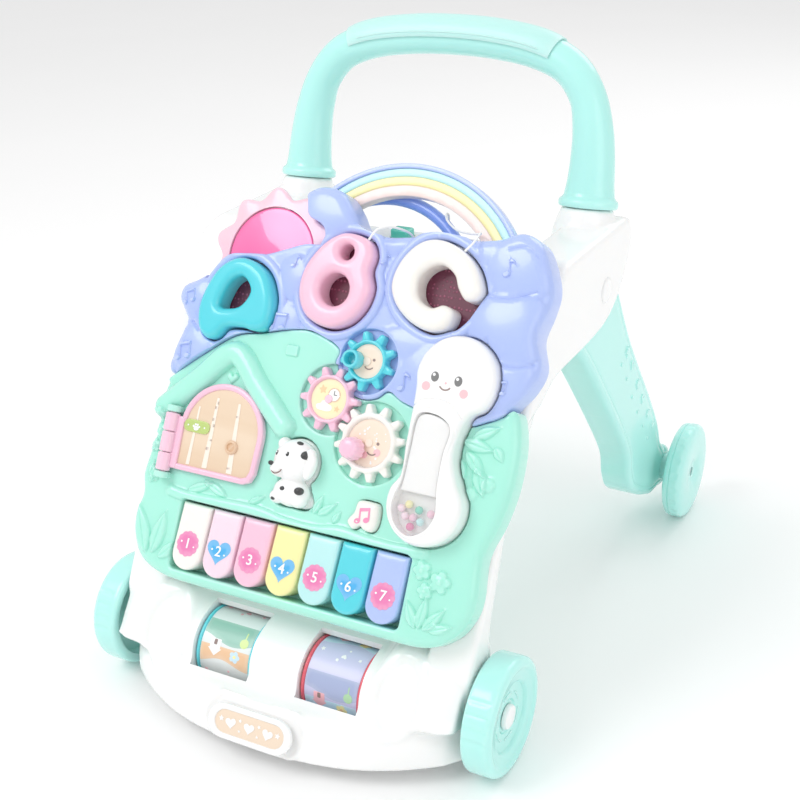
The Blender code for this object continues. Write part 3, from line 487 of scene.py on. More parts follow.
# ------------------------------------------------------------------ materials
class Look:
    """A new material: its shader, a texture coordinate and short ways to add nodes."""

    def __init__(self, name):
        self.made = bpy.data.materials.new(name)
        self.made.use_nodes = True
        self.tree = self.made.node_tree
        self.shader = next(n for n in self.tree.nodes if n.type == "BSDF_PRINCIPLED")
        self.place = self.tree.nodes.new("ShaderNodeTexCoord").outputs["Object"]

    def node(self, kind, source=None, into="Vector", **values):
        made = self.tree.nodes.new("ShaderNode" + kind)
        for key, value in values.items():
            made.inputs[key].default_value = value
        if source is not None:
            self.tree.links.new(source, made.inputs[into])
        return made

    def noise(self, scale, detail, source=None, **values):
        return self.node("TexNoise", source or self.place, Scale=scale, Detail=detail,
                         **values).outputs["Fac"]

    def spread(self, source, first, last, low=0.0, high=1.0):
        """The source from low to high, carried over to first to last."""
        values = {"From Min": low, "From Max": high, "To Min": first, "To Max": last}
        return self.node("MapRange", source, "Value", **values).outputs["Result"]

    def mix(self, factor, a, b):
        """A colour mix. factor is a socket; a and b are sockets or colours."""
        made = self.tree.nodes.new("ShaderNodeMix")
        made.data_type = "RGBA"
        self.tree.links.new(factor, made.inputs[0])
        for index, value in ((6, a), (7, b)):
            if isinstance(value, bpy.types.NodeSocket):
                self.tree.links.new(value, made.inputs[index])
            else:
                made.inputs[index].default_value = (*value, 1.0)
        return made.outputs[2]

    def bump(self, height, strength, distance, under=None):
        made = self.node("Bump", height, "Height", Strength=strength, Distance=distance)
        if under is not None:
            self.tree.links.new(under, made.inputs["Normal"])
        return made.outputs["Normal"]

    def wire(self, **values):
        """Sets the shader's inputs, by names with _ for a space, to sockets or values."""
        for key, value in values.items():
            target = self.shader.inputs[key.replace("_", " ")]
            if isinstance(value, bpy.types.NodeSocket):
                self.tree.links.new(value, target)
            else:
                target.default_value = value
        return self.made


def plastic(name, colour, roughness=0.24, coat=0.35, glow=0.25, tint=0.05, orange_peel=0.06, grain=0.0):
    """Moulded plastic: slight colour drift, paler edges that are partly rubbed wear and partly a painted highlight,
    waves in the gloss, light that soaks in a little.
    """
    look = Look(name)
    drift, fine, wave = look.noise(9.0, 2.0), look.noise(420.0, 3.0), look.noise(38.0, 1.0)
    # edge is the colour of convex edges: partly rubbed wear, partly a painted highlight
    darker, paler, edge = (tuple(c + (goal - c) * part for c in colour) for goal,
                           part in ((0, tint), (1, tint), (1, 0.45)))
    # pointiness finds the convex edges, which are painted paler as rubbed wear and as a painted edge highlight
    pointed = look.tree.nodes.new("ShaderNodeNewGeometry").outputs["Pointiness"]
    wear_and_highlight = look.spread(pointed, 0.0, 0.35, 0.52, 0.60)
    normal = look.bump(wave, orange_peel, 0.0006)
    if grain:
        normal = look.bump(fine, grain, 0.00015, normal)
    return look.wire(Base_Color=look.mix(wear_and_highlight, look.mix(drift, darker, paler), edge), Normal=normal,
                     Roughness=look.spread(fine, roughness * 0.85, roughness * 1.2), Coat_Weight=coat,
                     Coat_Roughness=0.08,
                     Subsurface_Weight=glow, Subsurface_Radius=(1.0, 0.9, 0.8), Subsurface_Scale=0.004)


def metal(name, colour):
    look = Look(name)
    fine = look.noise(600.0, 4.0)
    return look.wire(Base_Color=look.mix(fine, tuple(c * 0.9 for c in colour), colour),
                     Roughness=look.spread(fine, 0.21, 0.42),
                     Metallic=1.0)


def print_ink(name, colour):
    return plastic(name, colour, roughness=0.35, coat=0.15, glow=0.0, tint=0.03, orange_peel=0.02,
                   grain=0.1)


PLASTICS = {
    "mint": (0.40, 0.86, 0.72), "mint_light": (0.47, 0.90, 0.84), "mint_deep": (0.07, 0.62, 0.46),
    "periwinkle": (0.44, 0.55, 0.93), "periwinkle_deep": (0.20, 0.33, 0.82),
    "pink": (0.93, 0.55, 0.70), "pink_pale": (0.95, 0.71, 0.82), "turquoise": (0.07, 0.66, 0.76),
    "aqua": (0.50, 0.84, 0.84), "yellow": (0.95, 0.87, 0.40), "battery": (0.10, 0.11, 0.12),
    "red": (0.80, 0.05, 0.10), "sign_green": (0.52, 0.66, 0.20),
    "magenta_bead": (0.75, 0.10, 0.35), "band_blush": (0.90, 0.72, 0.66),
    "petal_pink": (0.90, 0.60, 0.70),
}
INKS = {
    "ink_black": (0.02, 0.02, 0.022), "ink_white": (0.93, 0.93, 0.93),
    "ink_pink": (0.85, 0.16, 0.40), "ink_beige": (0.86, 0.70, 0.55), "ink_tan": (0.72, 0.48, 0.30),
    "ink_green": (0.33, 0.62, 0.30), "ink_lime": (0.62, 0.78, 0.22), "ink_sky": (0.55, 0.78, 0.92),
    "ink_lilac": (0.55, 0.55, 0.82), "ink_yellow": (0.95, 0.85, 0.32),
    "ink_orange": (0.92, 0.56, 0.25), "ink_blush": (0.93, 0.45, 0.50),
    "ink_lemon": (0.93, 0.84, 0.52), "ink_peach": (0.93, 0.76, 0.62),
    "ink_brown": (0.16, 0.06, 0.04), "ink_shell": (0.92, 0.80, 0.68),
    "ink_paper": (0.80, 0.84, 0.84), "ink_sage": (0.30, 0.55, 0.46),
    "ink_apricot": (0.86, 0.56, 0.34), "ink_slate": (0.38, 0.44, 0.66),
    "badge_pink": (0.80, 0.20, 0.45), "badge_blue": (0.05, 0.42, 0.80),
}
M = {name: plastic(name, colour) for name, colour in PLASTICS.items()}
M.update({name: print_ink(name, colour) for name, colour in INKS.items()})
M["white"] = plastic("white", (0.93, 0.93, 0.925), tint=0.02)
M["cream"] = plastic("cream", (0.91, 0.885, 0.84), tint=0.03)
M["grip"] = plastic("grip", (0.52, 0.87, 0.82), roughness=0.4, coat=0.1, grain=0.25)
M["steel"] = metal("steel", (0.60, 0.61, 0.63))
M["cord"] = plastic("cord", (0.90, 0.90, 0.88), roughness=0.5, coat=0.0)


def board_material():
    look = Look("board")
    brick = look.node("TexBrick", look.place, Scale=180.0, Color1=(0.01, 0.20, 0.07, 1),
                      Color2=(0.015, 0.24, 0.09, 1),
                      Mortar=(0.45, 0.35, 0.10, 1))
    return look.wire(Base_Color=brick.outputs["Color"], Roughness=0.4)


def speckled_material():
    """The dark red floor under the letters, with a grid of raised speckles."""
    look = Look("speckled")
    cells = look.node("TexVoronoi", look.place, Scale=330.0, Randomness=0.35)
    spot = look.spread(cells.outputs["Distance"], 1.0, 0.0, 0.18, 0.34)
    return look.wire(Base_Color=look.mix(spot, (0.135, 0.018, 0.05), (0.34, 0.09, 0.16)),
                     Normal=look.bump(spot, 0.5, 0.0004),
                     Roughness=0.35)


def mirror_material():
    look = Look("mirror_magenta")
    drift = look.noise(14.0, 2.0)
    return look.wire(Base_Color=look.mix(drift, (0.90, 0.13, 0.38), (0.95, 0.20, 0.46)),
                     Normal=look.bump(drift, 0.12, 0.001),
                     Roughness=0.18, Metallic=0.05, Coat_Weight=1.0, Coat_Roughness=0.03)


def wood_material():
    """Printed wood: a pale board colour with long soft grain."""
    look = Look("door_wood")
    stretch = look.node("Mapping", look.place, Scale=(0.03, 1.0, 0.03)).outputs["Vector"]
    grain = look.noise(60.0, 5.0, stretch, Distortion=0.6)
    colour = look.mix(look.spread(grain, 0.0, 1.0, 0.35, 0.7), (0.82, 0.66, 0.50), (0.74, 0.55, 0.38))
    return look.wire(Base_Color=colour, Normal=look.bump(grain, 0.08, 0.0002), Roughness=0.32,
                     Coat_Weight=0.3)


def clear_material():
    look = Look("clear")
    return look.wire(Base_Color=(0.90, 0.90, 0.90, 1),
                     Roughness=look.spread(look.noise(300.0, 2.0), 0.02, 0.08), Alpha=0.14)


M["board"] = board_material()
M["speckled"] = speckled_material()
M["mirror"] = mirror_material()
M["door_wood"] = wood_material()
M["clear"] = clear_material()


def dress(names, material):
    for name in names.split():
        mesh = NODES[name].data
        mesh.materials.clear()
        mesh.materials.append(M[material])
        shade(NODES[name], 35)


# the pieces of the CAD part that stay as they are
dress("leg_pivot_pin_left leg_pivot_pin_right front_axle_left front_axle_right", "steel")
dress("rear_axle_left rear_axle_right roller_axle key_rail speaker", "steel")
dress("door_pin", "pink")
dress("battery_pack", "battery")
dress("circuit_board", "board")


# ------------------------------------------------------------------ outlines of the CAD part, drawn finer
def gear_places():
    """Each gear's centre, teeth and phase, in mesh with the pink gear."""
    half = GEAR_MODULE / 2
    places = {"pink": (PINK_GEAR, PINK_TEETH, WHITE_DIRECTION)}
    for name, teeth, direction in (("white", WHITE_TEETH, WHITE_DIRECTION),
                                   ("teal", TEAL_TEETH, TEAL_DIRECTION)):
        reach = half * (PINK_TEETH + teeth)
        centre = (PINK_GEAR[0] + reach * math.cos(direction), PINK_GEAR[1] + reach * math.sin(direction))
        past = half * PINK_TEETH * (WHITE_DIRECTION - direction)
        places[name] = (centre, teeth, direction + math.pi - (past + math.pi * half) / (half * teeth))
    return places


GEARS = gear_places()


def seam():
    return [(-131, 262), (-123, 270), (-101, 288), (-78, 304), (-56, 309), (-33, 315), (-14, 316),
            *arc(GEARS["teal"][0], 26.5, 168, 318, 8).tolist(), (66, 279), (90, 274), (114, 271),
            (130, 277), (139, 282), (147, 287)]


LOWER_FOOT = [(-138, 190), (-135, 176), (-138, 160), (-135, 143), (-125, 128), (-104, 119.5), (-70, 118),
              (0, 118), (80, 118),
              (115, 119.5), (133, 129), (143, 144), (146, 160), (144, 188), (151, 212), (155, 238),
              (154, 266)]
LOWER_LEFT = [(-134, 247), (-133, 226), (-136, 206)]
LOWER = offset(smooth(LOWER_FOOT + seam()[::-1] + LOWER_LEFT, 5), -0.25)
UPPER_RIGHT = [(153, 303), (157, 318), (151, 337), (154, 354), (155, 370), (149, 386), (140, 399),
               (126, 404), (110, 398),
               (92, 396), (66, 397), (44, 392), (25, 390), (6, 394)]
UPPER_SUN = [(-4, 406), (-16, 417), (-34, 419), (-52, 409), (-80, 394), (-100, 376), (-112, 354)]
UPPER_LEFT = [(-122, 341), (-134, 335), (-136, 324), (-127, 312), (-127, 299), (-131, 286), (-134, 275),
              (-131, 268)]
UPPER = offset(smooth(seam()[1:-1] + [(145.5, 291.5)] + UPPER_RIGHT + UPPER_SUN + UPPER_LEFT, 5), -0.25)
SEAM = smooth(seam(), 5, closed=False)

LETTER_A = smooth([(-112, 305), (-104, 298), (-96, 300), (-89, 308), (-76, 310), (-66, 309), (-57, 312),
                   (-53, 321),
                   (-55, 336), (-63, 350), (-76, 358), (-90, 359), (-103, 351), (-111, 337), (-115, 320)],
                  7)
LETTER_B = smooth([(-7, 320), (9, 325), (19, 337), (22, 351), (18, 363), (19, 374), (14, 383), (3, 387),
                   (-10, 386),
                   (-23, 376), (-33, 359), (-34, 341), (-25, 326)], 7)
C_OUTER = [(84, 333), (71, 329), (55, 334), (42, 345), (37, 358), (41, 374), (52, 387), (66, 391),
           (82, 387),
           (96, 377), (104, 363), (102, 355)]
C_INNER = [(94, 353), (87, 360), (82, 369), (72, 374), (62, 370), (57, 361), (60, 350), (70, 345),
           (79, 348), (87, 344)]
LETTER_C = smooth((C_OUTER + C_INNER)[::-1], 7)
C_CLOSED = smooth((C_OUTER + [(97, 345), (90, 336)])[::-1], 7)
A_HOLE = smooth([(-98, 323), (-88, 322), (-79, 326), (-74, 337), (-83, 346), (-93, 340)], 6)
SHIFT = np.array([5.0, 0.0])    # from where the letters are drawn to where they lie

HANDSET = smooth(np.vstack([arc((105.5, 300.5), 29, -36, 200, 12), [(79, 272), (79.4, 250)],
                            arc((101, 214), 27.5, 140, 402, 12), [(115, 249), (115.4, 264), (120, 277)]]),
                 5)


DOOR_HINGE = moved(PANEL, -115, 0, 12)


def door_outline():
    arch = arc((-72, 232), 36, 0, 180, 25)
    top = [(x, max(y, 232) if x > -72 else y) for x, y in arch[:-1]]
    return np.array([(-111.3, 199), (-46, 199), (-40, 201.5), (-37, 208), *top, (-109, 238), (-111.3, 232)])


DOG = np.vstack([arc((-6.5, 223), 18.2, -45, 225, 20), smooth([(-19.5, 205), (-22.5, 196), (-14.5, 191.5),
                                                               (-4.5, 191.5), (6.5, 191.5),
                                                            (12.5, 196), (8.5, 205)], 3, closed=False)])
NOTE = smooth([(43, 192), (48, 187), (53, 190), (57, 188), (63, 188), (66, 194), (65, 206), (59, 208),
               (49, 207), (47, 199)], 6)


def petals(first, last, count, gap=0.0):
    """The outline of the sun's petals from first to last, in degrees."""
    a = np.radians(np.linspace(first, last, count))
    r = 47.3 + 3.8 * np.cos(PETAL_COUNT * (a - PETAL_TURN)) + gap
    return np.stack([SUN[0] + r * np.cos(a), SUN[1] + r * np.sin(a)], 1)


SEAT_EDGE = [(-22, 377.5), (-36, 377), (-50, 372), (-66, 366), (-82, 364), (-98, 361.5), (-106.5, 352.5),
             (-112.5, 342.5)]
SEAT = np.vstack([petals(14, 208, 80, 1.8), smooth(SEAT_EDGE, 5, closed=False)[::-1]])


# ------------------------------------------------------------------ moulded relief
def leaf(at, length, width, angle):
    t = np.linspace(0, 1, 13)
    w = width / 2 * np.sin(math.pi * t ** 0.8)
    upper = np.stack([t * length, w], 1)
    lower = np.stack([t[::-1] * length, -w[::-1]], 1)
    return turned(np.vstack([upper, lower[1:-1]]), angle, at)


def flower(at, radius, start):
    a = turns(60)
    r = radius * (0.72 + 0.28 * np.abs(np.cos(5 * (a - start) / 2)) ** 0.7)
    return np.stack([at[0] + r * np.cos(a), at[1] + r * np.sin(a)], 1)


def heart(at, size, angle=0.0):
    a = turns(48)
    x = 16 * np.sin(a) ** 3
    y = 13 * np.cos(a) - 5 * np.cos(2 * a) - 2 * np.cos(3 * a) - np.cos(4 * a)
    return turned(np.stack([x, y + 2], 1)[::-1] / 32, angle, at, size)


def star(at, size, angle=0.0):
    out = []
    for i in range(10):
        a = math.pi / 2 + math.pi * i / 5
        r = size * (1.0 if i % 2 == 0 else 0.5)
        out.append((r * math.cos(a), r * math.sin(a)))
    return turned(smooth(out, 3), angle, at)


def box_outline(x0, x1, y0, y1, corner=1.0):
    parts = [arc((x1 - corner, y0 + corner), corner, -90, 0, 5),
             arc((x1 - corner, y1 - corner), corner, 0, 90, 5),
             arc((x0 + corner, y1 - corner), corner, 90, 180, 5),
             arc((x0 + corner, y0 + corner), corner, 180, 270, 5)]
    return np.vstack(parts)


def music(at, size, double=True, angle=0.0):
    """Outlines of a music note."""
    s = size / 12.0
    heads = [np.array([-4.0, -4.5]), np.array([3.6, -3.4])] if double else [np.array([-1.5, -4.5])]
    shapes = []
    for hx, hy in heads:
        shapes.append(turned(circle(1.0, 20) * (2.6, 2.0), 20, (hx, hy)))
        shapes.append(box_outline(hx + 1.3, hx + 2.6, hy, hy + 9.0, 0.4))
    if double:
        shapes.append(np.array([(-2.7, 2.6), (6.2, 3.8), (6.2, 6.4), (-2.7, 5.2)]))
    else:
        shapes.append(smooth([(1.1, 4.5), (4.0, 2.5), (4.3, -0.5), (2.9, 1.4), (0.2, 2.0)], 3))
    return [turned(p * s, angle, at) for p in shapes]


def close_to(points, shapes, margin):
    every = np.vstack(shapes)
    return np.all((points > every.min(0) - margin) & (points < every.max(0) + margin), axis=1)


class Relief:
    """Collects the features of a moulded face: each changes the height inside its own area."""

    def __init__(self, base):
        self.base, self.steps, self.lines, self.lobes = base, [], [], []

    def emboss(self, outlines, rise, soft=1.4, dome=0.0):
        shapes = [np.asarray(o, float) for o in (outlines if isinstance(outlines, list) else [outlines])]

        def step(points, h):
            near = close_to(points, shapes, 0.1)
            p = points[near]
            if not len(p):
                return h
            field = np.zeros(len(p))
            for s in shapes:
                depth = -signed(p, s)
                part = step_up(depth / soft) * rise
                if dome:
                    part += dome * (1 - (1 - np.clip(depth / 6.0, 0, 1)) ** 2) * (depth > 0)
                field = np.maximum(field, part)
            h[near] += field
            return h
        self.steps.append(step)
        for s in shapes:
            self.lines.append(resample(s, 0.8))
            self.lines.append(resample(offset(s, -soft * 0.5), 0.8))
            self.lines.append(resample(offset(s, -soft), 0.9))

    def groove(self, path, depth, width, closed=False):
        p = np.asarray(path, float)

        def step(points, h):
            near = close_to(points, [p], width + 0.1)
            q = points[near]
            if len(q):
                d = line_distance(q, p, closed)
                h[near] -= depth * (1 - step_up(d / width))
            return h
        self.steps.append(step)
        self.follow(p, (0.0, width * 0.5, width), closed)

    def follow(self, path, distances, closed=False):
        p = resample(path, 0.9, closed)
        t = np.roll(p, -1, 0) - np.roll(p, 1, 0) if closed else np.gradient(p, axis=0)
        t /= np.linalg.norm(t, axis=1, keepdims=True) + 1e-9
        n = np.stack([t[:, 1], -t[:, 0]], 1)
        for d in distances:
            self.lines.append(p + n * d)
            if d:
                self.lines.append(p - n * d)

    def pocket(self, outline, floor, wall=0.35, lip=1.2):
        o = resample(outline, 0.8)

        def step(points, h):
            near = close_to(points, [o], lip + 0.1)
            q = points[near]
            if len(q):
                d = signed(q, o)
                lipped = h[near] - edge_drop(np.clip(d, 0, lip), lip) * (d > 0)
                bottom = np.minimum(h[near], floor)
                t = np.clip(-d / wall, 0, 1)
                down = h[near] - lip + (bottom - h[near] + lip) * t
                h[near] = np.where(d > 0, lipped, np.minimum(down, h[near]))
            return h
        self.steps.append(step)
        for d in (-wall, 0.0, lip * 0.12, lip * 0.4, lip):
            self.lines.append(resample(offset(o, d), 0.8))

    def ridge(self, path, half, top, foot, closed=False, power=2.0):
        """A raised round bead along a path: its top is at height top, its foot at height foot."""
        p = np.asarray(path, float)

        def step(points, h):
            near = close_to(points, [p], half + 0.1)
            q = points[near]
            if len(q):
                d = line_distance(q, p, closed)
                bead = foot + (top - foot) * np.maximum(1 - (d / half) ** power, 0) ** (1 / power)
                h[near] = np.where(d < half, np.maximum(h[near], bead), h[near])
            return h
        self.steps.append(step)
        self.follow(p, (0.0, half * 0.35, half * 0.65, half * 0.87, half * 0.97, half * 1.02), closed)

    def swell(self, centre, radius, rise, squeeze):
        """A soft lobe. Lobes beside each other meet in a crease."""
        self.lobes.append((np.asarray(centre, float), radius, rise, np.asarray(squeeze, float)))

    def height(self, points):
        h = self.base(points)
        field = np.zeros(len(points))
        for c, r, rise, squeeze in self.lobes:
            d = np.linalg.norm((points - c) / squeeze, axis=1) / r
            field = np.maximum(field, rise * np.maximum(1 - d ** 2.2, 0) ** 0.6)
        h = h + field
        for step in self.steps:
            h = step(points, h)
        return h


def border(outline, top, radius, inner=None, inner_radius=1.0):
    """Base height of a shell: rounded by radius at its edge, and only a little along the inner line."""
    o = resample(outline, 1.0)
    if inner is None:
        return lambda points: top - edge_drop(line_distance(points, o, closed=True), radius)
    far = line_distance(o, inner) > 1.5

    def base(points):
        depth = line_distance(points, o, closed=True, use=far)
        to_inner = np.maximum(line_distance(points, inner) - 0.3, 0)
        return top - np.maximum(edge_drop(depth, radius), edge_drop(to_inner, inner_radius))
    return base


def lower_shell():
    work = Relief(border(LOWER, LOWER_FRONT, 7.0, SEAM, 1.0))
    ledge = smooth([(-108, 182.5), (-92, 181), (-60, 182), (-30, 182.5), (-8, 179.5), (16, 179),
                    (36, 182.5), (58, 181), (80, 180.5), (104, 182)], 6, closed=False)
    work.ridge(ledge, 4.5, 8.6, 5.5)
    x0, x1 = FIRST_KEY_X - KEY_PITCH / 2 - 0.8, FIRST_KEY_X + (KEY_COUNT - 0.5) * KEY_PITCH + 0.8
    window = box_outline(x0, x1, KEY_LOW - 1.5, KEY_HIGH + 2.0, 4)
    # house wall and roof
    wall = smooth([(-113, 194), (-76, 193.5), (-38, 194), (-33, 215), (-33, 242), (-52, 262), (-74, 283),
                   (-96, 264), (-115, 246), (-115, 215)], 5)
    work.emboss(wall, -1.6, soft=1.2)
    roof = smooth([(-126, 243), (-101, 268), (-75, 291), (-50, 270), (-23, 246)], 8, closed=False)
    work.ridge(roof, 9.0, 14.0, 5.0, power=2.4)
    work.pocket(box_outline(-103, -42, 204, 254, 5), POCKET_FLOOR)
    # moulded plants
    for at, length, width, angle in (((114, 262), 26, 10, -8), ((118, 256), 25, 10, -42),
                                     ((121, 265), 22, 9, 28), ((116, 250), 18, 8, -75),
                                     ((129, 247), 22, 11, -68), ((138, 262), 13, 8, -50),
                                     ((108, 131), 22, 9, 118), ((110, 131), 26, 9, 84),
                                     ((113, 131), 24, 9, 52), ((117, 132), 20, 8, 22),
                                     ((-119, 132), 40, 14, 112), ((-114, 133), 36, 13, 80),
                                     ((-108, 131), 26, 10, 45),
                                     ((-128, 184), 22, 9, 75), ((-122, 186), 18, 8, 110),
                                     ((-94, 185.5), 26, 8, 22), ((-58, 187.5), 26, 8, 160),
                                     ((-40, 187), 16, 6, 30),
                                     ((14, 190), 17, 7, 70), ((17, 190), 20, 7, 38),
                                     ((12, 191), 13, 6, 110), ((30, 187), 12, 6, 60)):
        shape = leaf(at, length, width, angle)
        work.emboss(shape, 2.0, soft=1.5, dome=0.7)
        c, s = math.cos(math.radians(angle)), math.sin(math.radians(angle))
        work.groove([(at[0] + c * 2, at[1] + s * 2), (at[0] + c * length * 0.8, at[1] + s * length * 0.8)],
                    0.6, 0.9)
    for at, radius in (((105, 171), 7.5), ((119.5, 166), 8.5), ((110, 158), 6.5), ((-127, 237), 6.0),
                       ((-126, 225), 6.5), ((-129, 213), 6.0)):
        work.emboss(flower(at, radius, start=at[0]), 1.9, soft=1.3, dome=0.6)
        work.emboss(circle(radius * 0.28, 16, at), 0.7, soft=0.8)
    work.emboss([circle(5.2, 24, (139, 236)), circle(5.2, 24, (128, 228))], 1.2, soft=1.5, dome=0.8)
    work.groove(smooth([(126, 250), (132, 243), (138, 240)], 4, closed=False), -0.7, 0.8)
    work.groove(smooth([(124, 248), (126, 240), (128, 232)], 4, closed=False), -0.7, 0.8)
    # small heart above the door and a catch on the hill
    work.emboss(heart((-74, 272.5), 11), 1.6, soft=1.2, dome=0.6)
    work.emboss(box_outline(-34.5, -23.5, 296, 304.5, 1.6), 1.5, soft=0.9)
    work.emboss(box_outline(-32.3, -25.7, 298.6, 302.6, 0.8), -1.6, soft=0.7)
    for centre, teeth, _ in GEARS.values():
        work.pocket(circle(GEAR_MODULE * teeth / 2 + ADDENDUM + 1.8, 90, centre), POCKET_FLOOR)
    work.pocket(offset(resample(HANDSET, 1.0), 1.3), POCKET_FLOOR)
    work.pocket(offset(resample(NOTE, 0.8), 0.7), -3.0)
    work.pocket(offset(resample(DOG, 0.8), 0.7), -3.0)
    work.pocket(window, -12.8, lip=2.0)
    obj = relief("lower_panel", LOWER, work.height, SHELL_BACK, PANEL, "panel", "mint",
                 ["panel_lower_shell"], lines=work.lines,
                 spacing=2.2, edge=1.0, rings=(0.15, 0.6, 1.4, 2.6, 4.2, 6.2), sharp=50)
    # the two lugs that carry the door pin
    for low, high in ((190.6, 195.4), (240.1, 245.0)):
        lug = lathe(f"door_lug_{int(low)}", [(low, 2.9), (low, 4.6), (low + 0.7, 5.4), (high - 0.7, 5.4),
                                             (high, 4.6), (high, 2.9)],
                    DOOR_HINGE, "panel", "mint", axis="y", count=40)
        foot = plate(f"door_lug_foot_{int(low)}", box_outline(-119.6, -110.4, low, high, 0.8), 2.0, 10.5,
                     PANEL, "panel", "mint", radius=0.8, spacing=2.0)


def upper_shell():
    work = Relief(border(UPPER, UPPER_FRONT, 7.5, SEAM, 1.2))
    for centre, radius, rise, squeeze in (((131, 382), 25, 5.0, (1.1, 1)), ((131, 340), 27, 6.0, (1.1, 1)),
                                          ((128, 300), 30, 5.0, (1, 1)),
                                          ((-116, 325), 17, 4.0, (1.1, 1)), ((-112, 289), 20, 4.0, (1, 1)),
                                          ((-22, 402), 20, 4.5, (1.4, 1)),
                                          ((-80, 290), 16, 2.5, (1.6, 0.8)),
                                          ((-45, 320), 15, 2.5, (1.2, 1)), ((40, 300), 24, 3.0, (1, 1)),
                                          ((80, 295), 26, 3.5, (1, 1.2)), ((34, 390), 12, 2.5, (1.2, 1)),
                                          ((108, 388), 14, 3.0, (1, 1)),
                                          ((-38, 352), 14, 3.0, (1, 1.2)),
                                          ((60, 318), 16, 2.5, (1.5, 0.8))):
        work.swell(centre, radius, rise, squeeze)
    for shape in (LETTER_A, LETTER_B, C_CLOSED):
        ring = offset(resample(shape + SHIFT, 1.2), 4.6)
        work.ridge(ring, 3.6, 9.4, 6.4, closed=True)
    for at, size, double, angle in (((-119, 286), 14, True, 8), ((-123, 326), 11, True, 15),
                                    ((-44, 319), 14, True, -5), ((-39, 364), 11, False, 0),
                                    ((64, 294), 15, False, 8), ((31, 374), 9, False, 0),
                                    ((124, 380), 14, False, 10), ((134, 300), 11, True, 0)):
        work.emboss(music(at, size, double, angle), 1.9, soft=0.9)
    work.groove(smooth([(103, 372), (112, 360), (128, 359), (146, 366)], 6, closed=False), 1.2, 2.2)
    work.groove(smooth([(118, 330), (127, 317), (142, 315), (152, 319)], 6, closed=False), 1.2, 2.2)
    work.groove(smooth([(143, 388), (133, 394), (121, 391)], 6, closed=False), 0.8, 1.6)
    work.groove(smooth([(-128, 312), (-118, 309), (-110, 303)], 5, closed=False), 1.0, 1.8)
    for centre, teeth, _ in GEARS.values():
        work.pocket(circle(GEAR_MODULE * teeth / 2 + ADDENDUM + 1.8, 90, centre), POCKET_FLOOR)
    work.pocket(offset(resample(HANDSET, 1.0), 1.3), POCKET_FLOOR)
    for shape in (LETTER_A, LETTER_B, C_CLOSED):
        work.pocket(offset(resample(shape + SHIFT, 1.0), 1.3), -0.8)
    work.pocket(SEAT, -9.6, lip=2.2)
    obj = relief("upper_panel", UPPER, work.height, SHELL_BACK, PANEL, "panel", "periwinkle",
                 ["panel_upper_shell"], lines=work.lines,
                 spacing=2.2, edge=1.0, rings=(0.15, 0.6, 1.4, 2.6, 4.2, 6.2), sharp=50)


lower_shell()
upper_shell()


# ------------------------------------------------------------------ small helpers for printed and moulded items
def decal(name, outlines, high, space, body, material, low=None, thickness=0.22, spacing=2.5, edge=0.8):
    """Thin printed shapes. high is a height, or a function that gives the surface's height at each point."""
    if not callable(high):
        high, low = (lambda points, h=high: np.full(len(points), h + thickness)), high - 0.3
    solids = [relief_mesh(outline, high, low, spacing=spacing, edge=edge, rings=()) for outline in outlines]
    return finish_mesh(name, *together(*solids), space, body, material, 30)


def ball(name, centre, radii, space, body, material, turn=0.0):
    return finish_mesh(name, *ball_mesh(centre, radii, 16, 24, turn), space, body, material, 80)


def beading(name, points, radius, space, body, material, around=10, replaces=()):
    return finish_mesh(name, *tube_mesh(points, radius, around), space, body, material, 70, replaces)


def numeral(name, text, size, at, height, slope, space, body, material):
    """A raised figure lying on a surface that rises by slope along the space's Y."""
    made = bpy.data.curves.new(name, "FONT")
    made.body = text
    made.size = size
    made.extrude = 0.35
    made.offset = 0.12
    made.align_x, made.align_y = "CENTER", "CENTER"
    made.resolution_u = 6
    holder = bpy.data.objects.new(name + "_text", made)
    bpy.context.scene.collection.objects.link(holder)
    graph = bpy.context.evaluated_depsgraph_get()
    mesh = bpy.data.meshes.new_from_object(holder.evaluated_get(graph))
    work = bmesh.new()
    work.from_mesh(mesh)
    bmesh.ops.remove_doubles(work, verts=work.verts, dist=0.001)
    points = np.array([tuple(v.co) for v in work.verts])
    faces = [tuple(v.index for v in f.verts) for f in work.faces]
    work.free()
    bpy.data.objects.remove(holder, do_unlink=True)
    points = points + (at[0], at[1], 0)
    points[:, 2] += height + slope * (points[:, 1] - at[1])
    return finish_mesh(name, points, faces, space, body, material, 30)


# ------------------------------------------------------------------ letters
def letters():
    floor = np.array([(-122, 300), (-98, 296), (-80, 308), (-58, 314), (-36, 320), (-12, 320.5), (6, 313),
                      (26, 313), (40, 322),
                      (104, 322), (118, 350), (112, 380), (90, 384), (30, 385), (-12, 387), (-21, 378),
                      (-31, 368), (-50, 362),
                      (-106, 356)])
    plate("letter_base", floor, -3.2, -0.5, PANEL, "panel", "speckled", radius=0.3, spacing=4.0,
                  replaces=["letter_floor"])
    holes = {"a": [A_HOLE], "b": [circle(5.5, 32, (-2, 374)), circle(11.5, 48, (-6, 347))], "c": []}
    outlines = {"a": LETTER_A, "b": LETTER_B, "c": LETTER_C}
    for name, finish in (("a", "turquoise"), ("b", "pink"), ("c", "cream")):
        inner = [h + SHIFT for h in holes[name]]
        obj = plate(f"letter_{name}_block", outlines[name] + SHIFT, 0.0, LETTER_TOP, PANEL,
                    f"letter_{name}", finish, radius=5.5,
                    holes=inner, replaces=[f"letter_{name}"], rings=(0.15, 0.5, 1.1, 2.0, 3.2, 4.4, 5.5),
                    spacing=2.2)


# ------------------------------------------------------------------ gears
GEAR_TOOTH = [(-0.33, -DEDENDUM), (-0.235, -DEDENDUM + 2.0), (-0.15, ADDENDUM - 1.1),
              (-0.085, ADDENDUM - 0.1), (0.085, ADDENDUM - 0.1),
              (0.15, ADDENDUM - 1.1), (0.235, -DEDENDUM + 2.0), (0.33, -DEDENDUM)]


